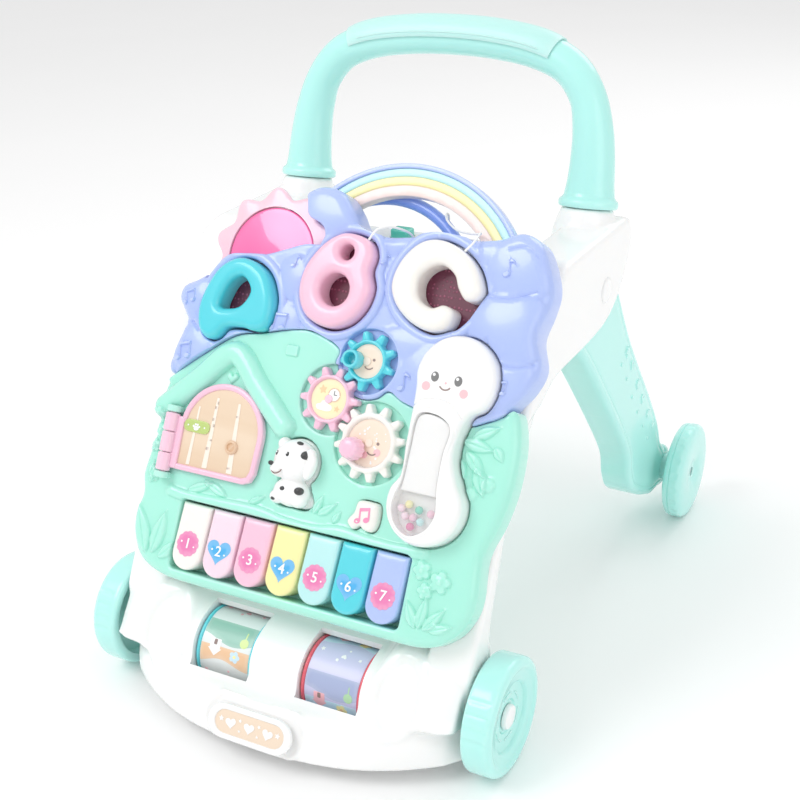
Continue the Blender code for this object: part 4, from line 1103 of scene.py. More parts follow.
def gear_shape(centre, teeth, phase):
    step = 2 * math.pi / teeth
    points = []
    for tooth in range(teeth):
        for part, rise in GEAR_TOOTH:
            a, r = phase + (tooth + part) * step, GEAR_MODULE * teeth / 2 + rise
            points.append((centre[0] + r * math.cos(a), centre[1] + r * math.sin(a)))
    return smooth(points, 3)


def gears():
    labels = {"pink": (14.3, "ink_lemon", "pink"), "white": (16.8, "ink_peach", "cream"),
              "teal": (12.2, "ink_peach", "turquoise")}
    for name, (centre, teeth, phase) in GEARS.items():
        outline = gear_shape(centre, teeth, phase)
        root = GEAR_MODULE * teeth / 2 - DEDENDUM
        label, ink, finish = labels[name]
        edge = resample(outline, 0.9)

        def height(points, edge=edge, root=root, label=label, centre=centre):
            r = np.linalg.norm(points - centre, axis=1)
            h = 10.4 - edge_drop(line_distance(points, edge, closed=True), 1.6)
            bead = (root + label) / 2 + 0.2
            half = (root - label) / 2 - 0.1
            h += 1.3 * np.sqrt(np.maximum(1 - ((r - bead) / half) ** 2, 0))
            h -= 1.6 * (1 - step_up((r - label) / 0.5))
            return h

        lines = [circle(r, 72, centre) for r in np.linspace(label - 0.1, root + 0.4,
                                                            8)] + [circle(label + 0.6, 90, centre)]
        obj = relief(f"gear_{name}_wheel", outline, height, POCKET_FLOOR + 0.6, PANEL, f"gear_{name}",
                     finish, [f"gear_{name}"], lines=lines, spacing=2.0,
                     edge=0.8, rings=(0.12, 0.45, 0.9, 1.6))
        decal(f"gear_{name}_label", [circle(label - 0.25, 60, centre)], 8.8, PANEL, f"gear_{name}", ink,
              thickness=THIN)
    clock, cloud = GEARS["pink"][0], np.array(GEARS["pink"][0])
    face = 9.1
    decal("gear_pink_clock", [circle(4.6, 36, cloud + (3.6, 3.4))], face - 0.1, PANEL, "gear_pink",
          "ink_white", thickness=THIN)
    decal("gear_pink_clock_rim", [crescent(cloud + (3.6, 3.4), 5.0, 4.2, a, a + 86, 12)
                                  for a in (0, 90, 180, 270)], face, PANEL, "gear_pink", "ink_tan",
          thickness=THIN)
    decal("gear_pink_hands", [box_outline(clock[0] + 3.3, clock[0] + 3.9, clock[1] + 3.0, clock[1] + 6.6,
                                          0.25),
                              box_outline(clock[0] + 3.3, clock[0] + 6.2, clock[1] + 3.1, clock[1] + 3.7,
                                          0.25)],
          face + 0.05, PANEL, "gear_pink", "ink_black", thickness=THIN)
    puff = smooth([(-9, -5), (-8, -8), (-4, -8.6), (1, -8.6), (3.6, -7), (3, -4.4), (0.6, -3.6),
                   (-1.4, -1.6), (-4.6, -1.8), (-6, -3.8)], 5)
    decal("gear_pink_cloud", [puff + clock], face - 0.1, PANEL, "gear_pink", "ink_white", thickness=THIN)
    decal("gear_pink_star", [star(cloud + (-6, 6), 3.4, 12), star(cloud + (7.6, -6), 2.4, -8)], face - 0.1,
          PANEL, "gear_pink",
          "ink_orange", thickness=THIN)
    middle = np.array(GEARS["white"][0])
    rng = random.Random(4)
    dots = [circle(rng.uniform(0.5, 0.9), 12, middle + (r * math.cos(a), r * math.sin(a)))
            for r, a in ((rng.uniform(4, 15), rng.uniform(0, 6.28)) for _ in range(26))
            if (r * math.cos(a) + 9) ** 2 + (r * math.sin(a) + 6) ** 2 > 100]
    decal("gear_white_dots", dots, face - 0.1, PANEL, "gear_white", "ink_white", thickness=THIN, edge=0.5)
    decal("gear_white_blush", [circle(2.6, 24, middle + (7.5, -5.5)),
                               circle(2.6, 24, middle + (-2.0, -8.5))], face, PANEL, "gear_white",
          "ink_blush", thickness=THIN)
    decal("gear_white_smile", [crescent(middle + (3.4, -3.2), 5.0, 4.1, 222, 318, 14),
                               circle(1.1, 18, middle + (0.2, -1.2)), circle(1.1, 18, middle + (7.0, 0.6))],
          face, PANEL, "gear_white",
          "ink_brown", thickness=0.18, edge=0.5)
    small = np.array(GEARS["teal"][0])
    decal("gear_teal_smile", [crescent(small + (2.0, -1.5), 4.2, 3.4, 215, 325, 14),
                              circle(1.0, 18, small + (-0.4, 1.2)), circle(1.0, 18, small + (5.0, 1.6))],
          face, PANEL, "gear_teal",
          "ink_brown", thickness=0.18, edge=0.5)
    # the fluted knob of the white gear
    foot = middle + (-9, -6)
    rings = []
    for h, r in ((11.0, 7.6), (11.4, 8.2), (13.0, 8.35), (17.0, 8.0), (20.0, 7.5), (21.8, 6.7), (22.7, 5.4),
                 (23.1, 3.6), (23.2, 1.4)):
        a = turns(96)
        flute = 1 - 0.055 * (0.5 - 0.5 * np.cos(12 * a)) ** 2 * (1 if h < 22 else 0.3)
        rings.append(np.stack([foot[0] + r * flute * np.cos(a), foot[1] + r * flute * np.sin(a),
                               np.full(96, h)], 1))
    finish_mesh("gear_knob", *skin(rings), PANEL, "gear_white", "pink", 50, ["gear_white_knob"])
    # the small cup on the teal gear
    at = small + (-9, -0.6)
    cup = [(8.5, 6.2), (9.5, 6.6), (17.6, 6.4), (18.6, 6.0), (19.0, 5.2), (18.6, 4.5), (17.6, 4.2),
           (12.2, 3.9), (11.6, 3.2), (11.4, 0.01), (8.5, 0.01)]
    lathe("gear_cup", cup, moved(PANEL, at[0], at[1], 0), "gear_teal", "turquoise", axis="z",
                  count=64)
    # hubs: a screw cover in the middle of each gear
    for name, (centre, _, _) in GEARS.items():
        cover = [(8.6, 3.0), (9.6, 3.0), (10.0, 2.6), (10.0, 0.01), (8.6, 0.01)]
        lathe(f"gear_{name}_hub", cover, moved(PANEL, centre[0], centre[1], 0), f"gear_{name}",
              "pink" if name == "pink" else "ink_peach", axis="z", count=40)


# ------------------------------------------------------------------ telephone handset
WINDOW = smooth([(83, 228), (80, 210), (85.5, 198), (96, 192.5), (107, 198), (112.5, 210), (110, 228),
                 (109.5, 250), (110.5, 268),
                 (98, 275), (85, 272), (83.5, 250)], 6)


def handset():
    face = border(HANDSET, 22.8, 7.0)
    work = Relief(face)
    brow = smooth([(80, 279), (88, 283.5), (99, 285), (109, 282.5), (116, 276)], 6, closed=False)
    work.groove(brow, 1.3, 1.4)
    panel_line = offset(WINDOW, 2.6)
    work.groove(panel_line, 0.7, 0.9, closed=True)
    work.pocket(WINDOW, 14.0, wall=0.5, lip=0.6)
    ear = arc((105.5, 300.5), 24.3, 135, 10, 24)
    work.groove(ear, 0.5, 0.8)
    obj = relief("handset_body", HANDSET, work.height, POCKET_FLOOR + 0.6, PANEL, "handset", "white",
                 ["handset_shell"], lines=work.lines,
                 spacing=2.2, edge=1.0, rings=(0.12, 0.5, 1.1, 2.0, 3.2, 4.6, 6.0, 7.2), sharp=50)
    cover = plate("handset_cover", offset(WINDOW, -0.5), 20.6, 22.3, PANEL, "handset", "clear", radius=0.7,
                  replaces=["handset_window"], spacing=4.0)
    liner = offset(WINDOW, -0.9)
    plate("handset_liner", liner[liner[:, 1] > 219], 16.5, 20.4, PANEL, "handset", "white", radius=1.2,
          spacing=4.0)
    rng = random.Random(11)
    inks = ["pink", "pink_pale", "aqua", "yellow", "magenta_bead", "mint_deep"]
    placed = []
    while len(placed) < 15:
        x, y = rng.uniform(83, 110), rng.uniform(194.5, 213)
        if signed(np.array([[x, y]]), WINDOW)[0] > -3.6:
            continue
        if all(math.hypot(x - a, y - b) > 5.7 for a, b in placed):
            placed.append((x, y))
        elif rng.random() < 0.004:
            break
    for i, (x, y) in enumerate(placed):
        ball(f"bead_{i}", (x, y, 17.0), (2.8, 2.8, 2.8), PANEL, "handset", inks[i % len(inks)])

    def skin_height(lift):
        return lambda points: face(points) + lift

    eyes = [(92.7, 299.5), (110.0, 299.0)]
    decal("handset_eyes", [turned(circle(1.0, 28) * (2.8, 3.4), 0, e) for e in eyes], skin_height(0.12),
          PANEL, "handset", "ink_black",
          low=20.5, edge=0.5)
    decal("handset_eye_lights", [circle(1.05, 16, (e[0] - 0.8, e[1] + 1.3)) for e in eyes],
          skin_height(0.2), PANEL, "handset",
          "ink_white", low=20.7, edge=0.4)
    smile = [crescent((101.3, 296.5), 5.2, 4.2, 215, 325, 20)]
    decal("handset_smile", smile, skin_height(0.12), PANEL, "handset", "ink_brown", low=20.5, edge=0.5)
    decal("handset_cheeks", [circle(3.0, 28, (87.5, 292.5)), circle(3.0, 28, (115.5, 291.5))],
          skin_height(0.1), PANEL, "handset",
          "ink_blush", low=14.0, edge=0.6)
    nose = [circle(0.8, 16, (101.3, 296.4))]
    decal("handset_nose", nose, skin_height(0.15), PANEL, "handset", "ink_blush", low=20.5, edge=0.4)


# ------------------------------------------------------------------ house door
def door():
    outline = door_outline()
    inner = offset(resample(outline, 1.5), -4.6)
    ring = plate("door_frame", outline, 7.0, 11.9, PANEL, "house_door", "pink", radius=1.8, holes=[inner],
                 replaces=["house_door"],
                 spacing=2.5)
    boards = plate("door_boards", offset(resample(outline, 1.5), -4.3), 7.3, 10.3, PANEL, "house_door",
                   "door_wood", radius=0.3, spacing=4)
    for i, (foot, head, wide) in enumerate(((-95.4, -94.2, 1.5), (-80.4, -79.6, 2.2), (-58.6, -60.8, 2.4))):
        top = 227 + math.sqrt(max(30.5 ** 2 - (head + 72) ** 2, 0))
        strip = np.array([(foot - wide, 204.4), (foot + wide, 204.4), (head + wide * 0.45, top),
                          (head - wide * 0.45, top)])
        decal(f"door_seam_{i}", [strip], 10.2, PANEL, "house_door", "ink_shell", thickness=0.45, spacing=4)
    knob = [(10.2, 5.2), (11.4, 5.2), (12.2, 4.6), (12.4, 3.9), (12.2, 3.2), (11.2, 2.8), (11.2, 0.01),
            (10.2, 0.01)]
    lathe("door_knob", knob, moved(PANEL, -60.5, 223.4, 0), "house_door", "ink_tan", axis="z", count=48)
    sign = np.vstack([arc((-100, 233), 4.6, 90, 270, 12), arc((-86.5, 233), 4.6, -90, 90, 12)])
    obj = plate("door_sign", sign, 10.1, 11.5, PANEL, "house_door", "sign_green", radius=0.5, spacing=3)
    pad = turned(circle(1.0, 28) * (2.2, 1.7), 8, (-93.2, 231.6))
    toes = [circle(0.85, 16, (-93.2 + dx, 231.6 + dy)) for dx,
            dy in ((-2.5, 1.3), (-0.9, 2.7), (0.9, 2.7), (2.5, 1.3))]
    decal("door_paw", [pad, *toes], 11.5, PANEL, "house_door", "ink_white", thickness=THIN, edge=0.4)
    decal("door_sign_dots", [circle(0.7, 14, (-100.5, 233)), circle(0.7, 14, (-86, 233))], 11.5, PANEL,
          "house_door", "ink_white",
          thickness=THIN, edge=0.4)
    pieces = ((196.2, 209.6), (210.2, 225.2), (225.8, 239.3))
    for i, (low, high) in enumerate(pieces):
        barrel = [(low, 2.7), (low, 4.7), (low + 0.7, 5.4), (high - 0.7, 5.4), (high, 4.7), (high, 2.7)]
        lathe(f"door_barrel_{i}", barrel, DOOR_HINGE, "house_door", "pink", axis="y", count=48)
    strap = plate("door_strap", box_outline(-113.5, -104.5, 199.5, 238.0, 1.0), 7.2, 12.4, PANEL,
                  "house_door", "pink", radius=1.2, spacing=3)


# ------------------------------------------------------------------ dog and note buttons
def dog():
    shapes = [ball_mesh((-6, 224, 9.5), (16.8, 15.6, 12.2), 20, 32),
              ball_mesh((-14, 217.5, 13.0), (9.2, 6.8, 7.6), 16, 24, 12),
              ball_mesh((-5.5, 202, 7.5), (14.5, 10.5, 9.5), 18, 28),
              ball_mesh((-15.5, 197.0, 8.5), (6.0, 5.2, 6.5), 14, 20),
              ball_mesh((1.5, 196.8, 8.5), (7.0, 5.0, 6.5), 14, 20),
              ball_mesh((-18.0, 234.5, 8.5), (4.2, 5.0, 7.0), 14, 20)]
    seat = relief_mesh(offset(resample(DOG, 1.2), -0.6), lambda p: np.full(len(p), 4.0), -3.0, spacing=3.0,
                       edge=1.4, rings=())
    obj = finish_mesh("dog", *together(*shapes, seat), PANEL, "dog_button", "white", 70, ["dog_button"])
    melt(obj, 0.75, 5)
    ear = [ball_mesh((8.9, 222.0, 14.4), (4.4, 9.5, 4.8), 16, 24, -10),
           ball_mesh((7.1, 230.5, 13.6), (4.4, 4.6, 4.6), 14, 20)]
    flap = finish_mesh("dog_ear", *together(*ear), PANEL, "dog_button", "white", 70)
    melt(flap, 0.7, 4)
    ball("dog_nose", (-20.5, 219.6, 18.6), (2.2, 1.7, 1.5), PANEL, "dog_button", "ink_black")
    for i, (x, y, z) in enumerate(((-17.1, 227.2, 17.2), (-7.1, 227.8, 20.4))):
        ball(f"dog_eye_{i}", (x, y, z), (1.7, 2.1, 1.4), PANEL, "dog_button", "ink_black")
        ball(f"dog_eye_light_{i}", (x - 0.6, y + 0.9, z + 1.2), (0.5, 0.5, 0.4), PANEL, "dog_button",
             "ink_white")
    for i, (centre, radii, turn) in enumerate((((4.0, 229.0, 15.2), (4.6, 3.6, 4.4), 30),
                                               ((3.3, 204.0, 13.6), (4.0, 2.9, 3.0), 10),
                                               ((-8.5, 203.6, 15.4), (2.6, 1.9, 2.0), 0),
                                               ((-16.0, 195.4, 13.6), (2.0, 1.4, 1.6), 0),
                                               ((-2.5, 236.4, 14.2), (3.0, 2.0, 2.6), -10))):
        ball(f"dog_spot_{i}", centre, radii, PANEL, "dog_button", "ink_black", turn)
    mouth = [(-18.9, 214.3, 18.3), (-16.5, 213.2, 19.3), (-14.1, 213.3, 20.0), (-11.5, 214.6, 20.4),
             (-10.1, 216.4, 20.5)]
    beading("dog_mouth", smooth(mouth, 5, closed=False), 0.42, PANEL, "dog_button", "ink_brown", 8)


def note():
    obj = plate("note", NOTE, -3.0, 11.2, PANEL, "note_button", "cream", radius=3.4, crown=0.8, over=9,
                replaces=["note_button"], spacing=1.8,
                rings=(0.12, 0.5, 1.1, 2.0, 3.4))
    decal("note_print", music((55, 198), 11, True, 6), lambda p: puffy(11.2, 3.4, 0.8, 9, NOTE)(p) + 0.14,
          PANEL, "note_button", "ink_pink",
          low=9.0, edge=0.5)


# ------------------------------------------------------------------ piano keys
def keys():
    colours = ["cream", "pink_pale", "pink", "yellow", "aqua", "turquoise", "periwinkle"]
    half = KEY_WIDTH / 2
    rise = 0.08
    for i in range(KEY_COUNT):
        x = FIRST_KEY_X + i * KEY_PITCH
        outline = np.vstack([arc((x, KEY_LOW + half), half, 180, 360, 40),
                             [(x + half, KEY_HIGH), (x - half, KEY_HIGH)]])
        edge = resample(outline, 0.8)

        def height(points, edge=edge):
            return 5.5 + rise * (KEY_HIGH - points[:,
                                                   1]) - edge_drop(line_distance(points, edge, closed=True),
                                                                   3.0)

        obj = relief(f"key_{i + 1}_top", outline, height, -8.0, PANEL, f"key_{i + 1}", colours[i],
                     [f"key_{i + 1}"], spacing=3.0, edge=1.0,
                     rings=(0.12, 0.5, 1.1, 1.9, 3.0))
        at = (x, 147.5)

        def printed(points):
            return 5.5 + rise * (KEY_HIGH - points[:, 1]) + 0.12
        if i % 2 == 0:
            a = turns(120)
            r = 8.7 + 0.85 * np.abs(np.cos(6 * a)) ** 0.8
            badge, ink = np.stack([at[0] + r * np.cos(a), at[1] + r * np.sin(a)], 1), "badge_pink"
        else:
            badge, ink = heart((at[0], at[1] - 0.8), 20.0), "badge_blue"
        decal(f"key_{i + 1}_badge", [badge], printed, PANEL, f"key_{i + 1}", ink, low=6.5, edge=0.7)
        surface = 5.5 + rise * (KEY_HIGH - at[1]) + 0.12
        numeral(f"key_{i + 1}_number", str(i + 1), 10.5, at, surface, -rise, PANEL, f"key_{i + 1}",
                "ink_white")
        spots = [circle(0.8, 14, (at[0] - 5.6, at[1] + 1.0)), circle(0.7, 14, (at[0] + 5.6, at[1] - 1.4))]
        decal(f"key_{i + 1}_spots", spots, lambda p: printed(p) + 0.12, PANEL, f"key_{i + 1}", "ink_white",
              low=6.8, edge=0.4)


# ------------------------------------------------------------------ sun and rainbow
def sun_and_rainbow():
    outline = petals(0, 360, 301)[:-1]
    hole = circle(36.4, 120, SUN)

    def height(points):
        d = points - SUN
        radius, angle = np.linalg.norm(d, axis=1), np.arctan2(d[:, 1], d[:, 0])
        ridge = 0.5 + 0.5 * np.cos(PETAL_COUNT * (angle - PETAL_TURN))
        out = np.clip((radius - 36) / 15, 0, 1)
        return -3.5 - 1.7 * out * (1 - ridge) - 1.2 * out ** 2 - edge_drop(line_distance(points, outline, closed=True), 1.6)

    obj = relief("sun_rays", outline, height, -9.0, PANEL, "panel", "petal_pink", ["sun_petals"],
                 holes=[hole], spacing=1.5, edge=0.9,
                 rings=(0.2, 0.7, 1.4), sharp=60)
    disc = plate("sun_disc", circle(35.9, 120, SUN), -9.0, -4.2, PANEL, "panel", "mirror", radius=1.6,
                 crown=0.7, over=30,
                 replaces=["sun_mirror"], spacing=3.0)
    low = SHELL_BACK - 0.3 - 9
    for name, inner, outer, high, finish in (("rim", 99.6, 103.0, -13.9, "periwinkle"),
                                             ("outer", 93.8, 99.7, -15.3, "aqua"),
                                             ("middle", 87.6, 93.9, -15.3, "yellow"),
                                             ("inner", 80.0, 87.7, -15.3, "band_blush")):
        band = plate(f"rainbow_{name}", crescent(RAINBOW, outer, inner, 31, 142, 90), low, high, PANEL,
                     "panel", finish, radius=0.7,
                     spacing=4.0, replaces=["rainbow_arch"] if name == "rim" else [])
    first = math.degrees(math.asin((BOX_HIGH + 4 - TUBE[1]) / TUBE_RADIUS))
    points = [(x, y, TUBE_HEIGHT) for x, y in arc(TUBE, TUBE_RADIUS, first, 180 - first, 60)]
    points = [(points[0][0], BOX_HIGH + 4.6,
               TUBE_HEIGHT)] + points + [(points[-1][0], BOX_HIGH + 4.6, TUBE_HEIGHT)]
    beading("rainbow_bow", points, 4.5, PANEL, "panel", "periwinkle_deep", 28, ["rainbow_tube"])


# ------------------------------------------------------------------ cords of the letters B and C
def cords():
    for letter, points in (("b", TETHER_B), ("c", TETHER_C)):
        path = smooth(points, 8 if letter == "b" else 6, closed=False)[::-1]
        obj = beading(f"letter_{letter}_cord", path, 0.8, PANEL, "panel", "cord", 12, [f"tether_{letter}"])
        real = placed(path, PANEL)
        world = obj.matrix_world.copy()
        obj.parent = None
        obj.matrix_world = world
        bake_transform(obj)


letters()
gears()
handset()
door()
dog()
note()
keys()
sun_and_rainbow()
cords()


# ------------------------------------------------------------------ frame
BUMPER_HALF = 143.0
ARM_INSIDE, ARM_OUTSIDE, BEAM_INSIDE, BEAM_OUTSIDE = 109.0, 149.0, 112.0, 146.0
BUMPER_FOOT = 14.3


def bumper_front(x):
    return -79.0 + 51.0 * (abs(x) / BUMPER_HALF) ** 2.6


def bumper_ring(x):
    """The bumper's outline at x: round over the rollers in the middle and raised in front of the wheels."""
    front = bumper_front(x)
    cover = [(ROLLER_AXIS[0] + 33 * math.cos(math.radians(a)),
              ROLLER_AXIS[1] + 33 * math.sin(math.radians(a))) for a in (172, 150, 125, 100)]
    middle = [(front + 3, BUMPER_FOOT), (front, 17), (front + 5, 30), (front + 14, 43), (-53, 46), *cover,
              (-6, 81), (6, 82), (17, 82),
              (20, 78), (20, BUMPER_FOOT)]
    fender = [(front + 3, BUMPER_FOOT), (front, 17), (front + 2, 30), (front + 6, 42), (-49, 52), (-43, 61),
              (-36, 71), (-27, 81),
              (-15, 89), (-2, 93), (9, 94), (17, 93), (20, 88), (20, BUMPER_FOOT)]
    side = step_up((abs(x) - 76.0) / 14.0)
    blend = np.array(middle) * (1 - side) + np.array(fender) * side
    low, rest = blend[[-1, 0]], blend[1:-1]
    curve = smooth(np.vstack([blend[:1], rest]), 4, closed=False)
    ring = np.vstack([curve, low[:1]])
    drop = 4.5 * max(0.0, abs(x) - 0.93 * BUMPER_HALF) / (0.07 * BUMPER_HALF)
    ring[:, 1] = np.where(ring[:, 1] > 55, ring[:, 1] - drop, ring[:, 1])
    ring[:, 0] = np.where(ring[:, 0] < -20, ring[:, 0] + drop, ring[:, 0])
    return np.column_stack([np.full(len(ring), x), ring])


def on_panel_back(v, height):
    return (PANEL_FOOT_Y + v * SIN - height * COS, v * COS + height * SIN)


def slab(outline, low, high, radius):
    """An outline in (y, z) from x low to x high, its edges rounded by radius."""
    o = np.asarray(outline, float)
    if area(o) < 0:
        o = o[::-1]
    o = resample(o, 3.0)
    rings = [(low + radius * (1 - math.cos(a)), radius * (1 - math.sin(a)))
             for a in np.radians((0, 30, 60, 90))]
    half = rings + [(low + high - x, inset) for x, inset in reversed(rings)]
    out = []
    for x, inset in half:
        p = offset(o, -inset) if inset > 1e-6 else o
        out.append(np.column_stack([np.full(len(p), x), p]))
    return skin(out)


def rod(radius, low, high, centre, count):
    return prism(circle(radius, count, centre), low, high)


SLOT = [(144, 228), (142, 238), (144, 256), (149, 271), (156, 290), (164, 308), (173, 319.5), (208, 319.8),
        (221, 317.5), (230, 312),
        (236, 306.5), (264.5, 262.5), (262, 228)]


def frame_body():
    rest = SHELL_BACK - 0.3
    beam = [(-24, 58), on_panel_back(103, rest), on_panel_back(330, rest), (118, 268), (89, 238), (58, 200),
            (36, 160), (16, 112),
            (10, 80), (10, 58)]
    corners = [(92, 240), (118, 250), (175, 252), (212, 256), (235, 267), (251, 283), (262, 300),
               (263, 314), (259, 324), (250, 327)]
    rounded = smooth(corners, 4, closed=False)
    arm = np.vstack([[on_panel_back(276, rest)], rounded, [(142, 327), (126, 323), (112, 314),
                                                           on_panel_back(345, rest)]])
    stations = [BUMPER_HALF * t for t in np.concatenate([[-1, -0.985], np.linspace(-0.96, 0.96, 65),
                                                         [0.985, 1]])]
    solids = [skin([bumper_ring(x) for x in stations])]
    for side in (-1, 1):
        for outline, inside_x, outside_x, radius in ((beam, BEAM_INSIDE, BEAM_OUTSIDE, 3.0),
                                                     (arm, ARM_INSIDE, ARM_OUTSIDE, 4.5)):
            low, high = sorted((side * inside_x, side * outside_x))
            solids.append(slab(outline, low, high, radius))
        rings = []
        a = turns(48)
        for y, z, wide, deep in ((229, 300, 25, 24), (229, 316, 24.6, 23.6), (229.6, 322, 23.6, 22.6),
                                 (231.5, 327, 22.4, 21.4),
                                 (233.6, 331.5, 20.6, 19.6),
                                 (HANDLE_BASE[0], HANDLE_BASE[1] - 0.6, 19.6, 18.6)):
            tilt = -0.24 * deep * np.sin(a) * (z > 330)
            rings.append(np.column_stack([side * HANDLE_X + wide * np.cos(a), y + deep * np.sin(a),
                                          z + tilt]))
        solids.append(skin(rings))
    solids.append(slab(box_outline(139, 168, 296, 326, 5), -111, 111, 1.0))
    obj = finish_mesh("frame", *together(*solids), WALKER, "frame", "white", 50, ["frame_shell"])
    melt(obj, 1.7, 7)
    dent(obj)
    cutters = []
    for side in (-1, 1):
        centre = side * ROLLER_X
        window = [(-7.5, 60), (-7.5, 90), (-50, 90), (-50, 39), (-40, 30), (-14, 30)]
        low, high = centre - 25.3, centre + 25.3
        cutters.append(prism(window, low, high))
        cutters.append(rod(31.0, low, high, ROLLER_AXIS, 64))
    for cutter in cutters:
        carve(obj, cutter, WALKER)
    for side in (-1, 1):
        low, high = sorted((side * 115.0, side * 143.0))
        carve(obj, prism(SLOT, low, high), WALKER)
        low, high = sorted((side * 100.0, side * 147.4))
        carve(obj, rod(PIVOT_BORE, low, high, LEG_PIVOT, 32), WALKER)
        low, high = sorted((side * 115.0, side * 160.0))
        carve(obj, rod(AXLE_BORE, low, high, (0, WHEEL_RADIUS), 32), WALKER)
    carve(obj, rod(ROLLER_BORE, -90.0, 90.0, ROLLER_AXIS, 24), WALKER)
    carve(obj, prism(box_outline(4, 20, 143, 155, 1.5), 313.0, 340.0, 2), WALKER)
    shade(obj, 38)
    for side, name in ((-1, "left"), (1, "right")):
        boss = [(138, 4.4), (138, 12.0), (145.6, 12.0), (146.8, 11.0), (147.2, 9.6), (147.2, 4.4)]
        lathe(f"axle_boss_{name}", [(side * x, r) for x, r in boss], moved(WALKER, 0, 0, WHEEL_RADIUS),
              "frame", "white", count=64)
        cap = [(side * 145.5, 0.01), (side * 145.5, 9.6), (side * 149.2, 9.6), (side * 149.9, 8.8),
               (side * 150.2, 7.2), (side * 150.2, 0.01)]
        lathe(f"pivot_cap_{name}", cap, moved(WALKER, 0, LEG_PIVOT[0], LEG_PIVOT[1]), "frame", "white",
              count=56)


def dent(obj):
    """Presses the two oval pads into the front of the bumper and its shallow moulded lines."""
    mesh = obj.data
    points = np.empty(len(mesh.vertices) * 3, np.float32)
    mesh.vertices.foreach_get("co", points)
    normals = np.empty(len(mesh.vertices) * 3, np.float32)
    mesh.vertices.foreach_get("normal", normals)
    p = points.reshape(-1, 3).astype(float) / MM
    n = normals.reshape(-1, 3).astype(float)
    p[:, 1] += MIDDLE_Y
    push = np.zeros(len(p))
    facing = (n[:, 1] < -0.15) & (p[:, 1] < 12) & (p[:, 2] < 100)
    for side in (-1, 1):
        reach = np.sqrt(((p[:, 0] - side * 99) / 19.5) ** 2 + ((p[:, 2] - 65) / 25.0) ** 2)
        push += np.where(facing, -2.6 * (1 - step_up((reach - 0.72) / 0.2)) + 0.9 * np.exp(-((reach - 1.04) / 0.09) ** 2), 0)
    # the plaque's raised border on the sloping front
    span = np.clip(np.abs(p[:, 0]) - 24.0, 0, None)
    reach = np.sqrt(span ** 2 + ((p[:, 2] - 30) * 1.14) ** 2)
    low_front = (n[:, 1] < -0.3) & (p[:, 1] < -55) & (p[:, 2] < 60)
    push += np.where(low_front, 1.2 * np.exp(-((reach - 17.5) / 1.7) ** 2), 0)
    p += n * push[:, None]
    p[:, 1] -= MIDDLE_Y
    mesh.vertices.foreach_set("co", (p * MM).astype(np.float32).ravel())
    mesh.update()


def plaque():
    slope = math.atan2(27, 14)
    seat = matrix((0, bumper_front(0) + 4.0 - MIDDLE_Y, 30.5), (1, 0, 0),
                  (0, math.cos(slope), math.sin(slope)), (0, -math.sin(slope), math.cos(slope)))
    rim = box_outline(-35, 35, -12.6, 12.6, 12.5)
    hole = box_outline(-29, 29, -8.4, 8.4, 8.3)
    obj = plate("plaque_rim", rim, 2.2, 5.4, seat, "frame", "white", radius=1.4, holes=[hole],
                replaces=["bumper_plaque"], spacing=2.5)
    field = plate("plaque_field", offset(hole, 0.3), 2.4, 4.3, seat, "frame", "ink_beige", radius=0.2,
                  spacing=4)
    hearts = [heart((x, -0.5), 8.6, turn) for x, turn in ((-15.5, 8), (0, 0), (15.5, -8))]
    decal("plaque_hearts", hearts, 4.3, seat, "frame", "ink_white", thickness=0.5, edge=0.5)
    stars = [star((x, y), s, turn) for x, y, s, turn in ((-23.8, 1.4, 2.2, 10), (23.8, 1.4, 2.2, -10),
                                                         (-8, 3.4, 1.5, 0), (8, 3.4, 1.5, 20),
                                                         (-7.6, -4.0, 1.2, 0), (7.6, -4.0, 1.2, 15))]
    decal("plaque_stars", stars, 4.3, seat, "frame", "ink_white", thickness=0.4, edge=0.4)


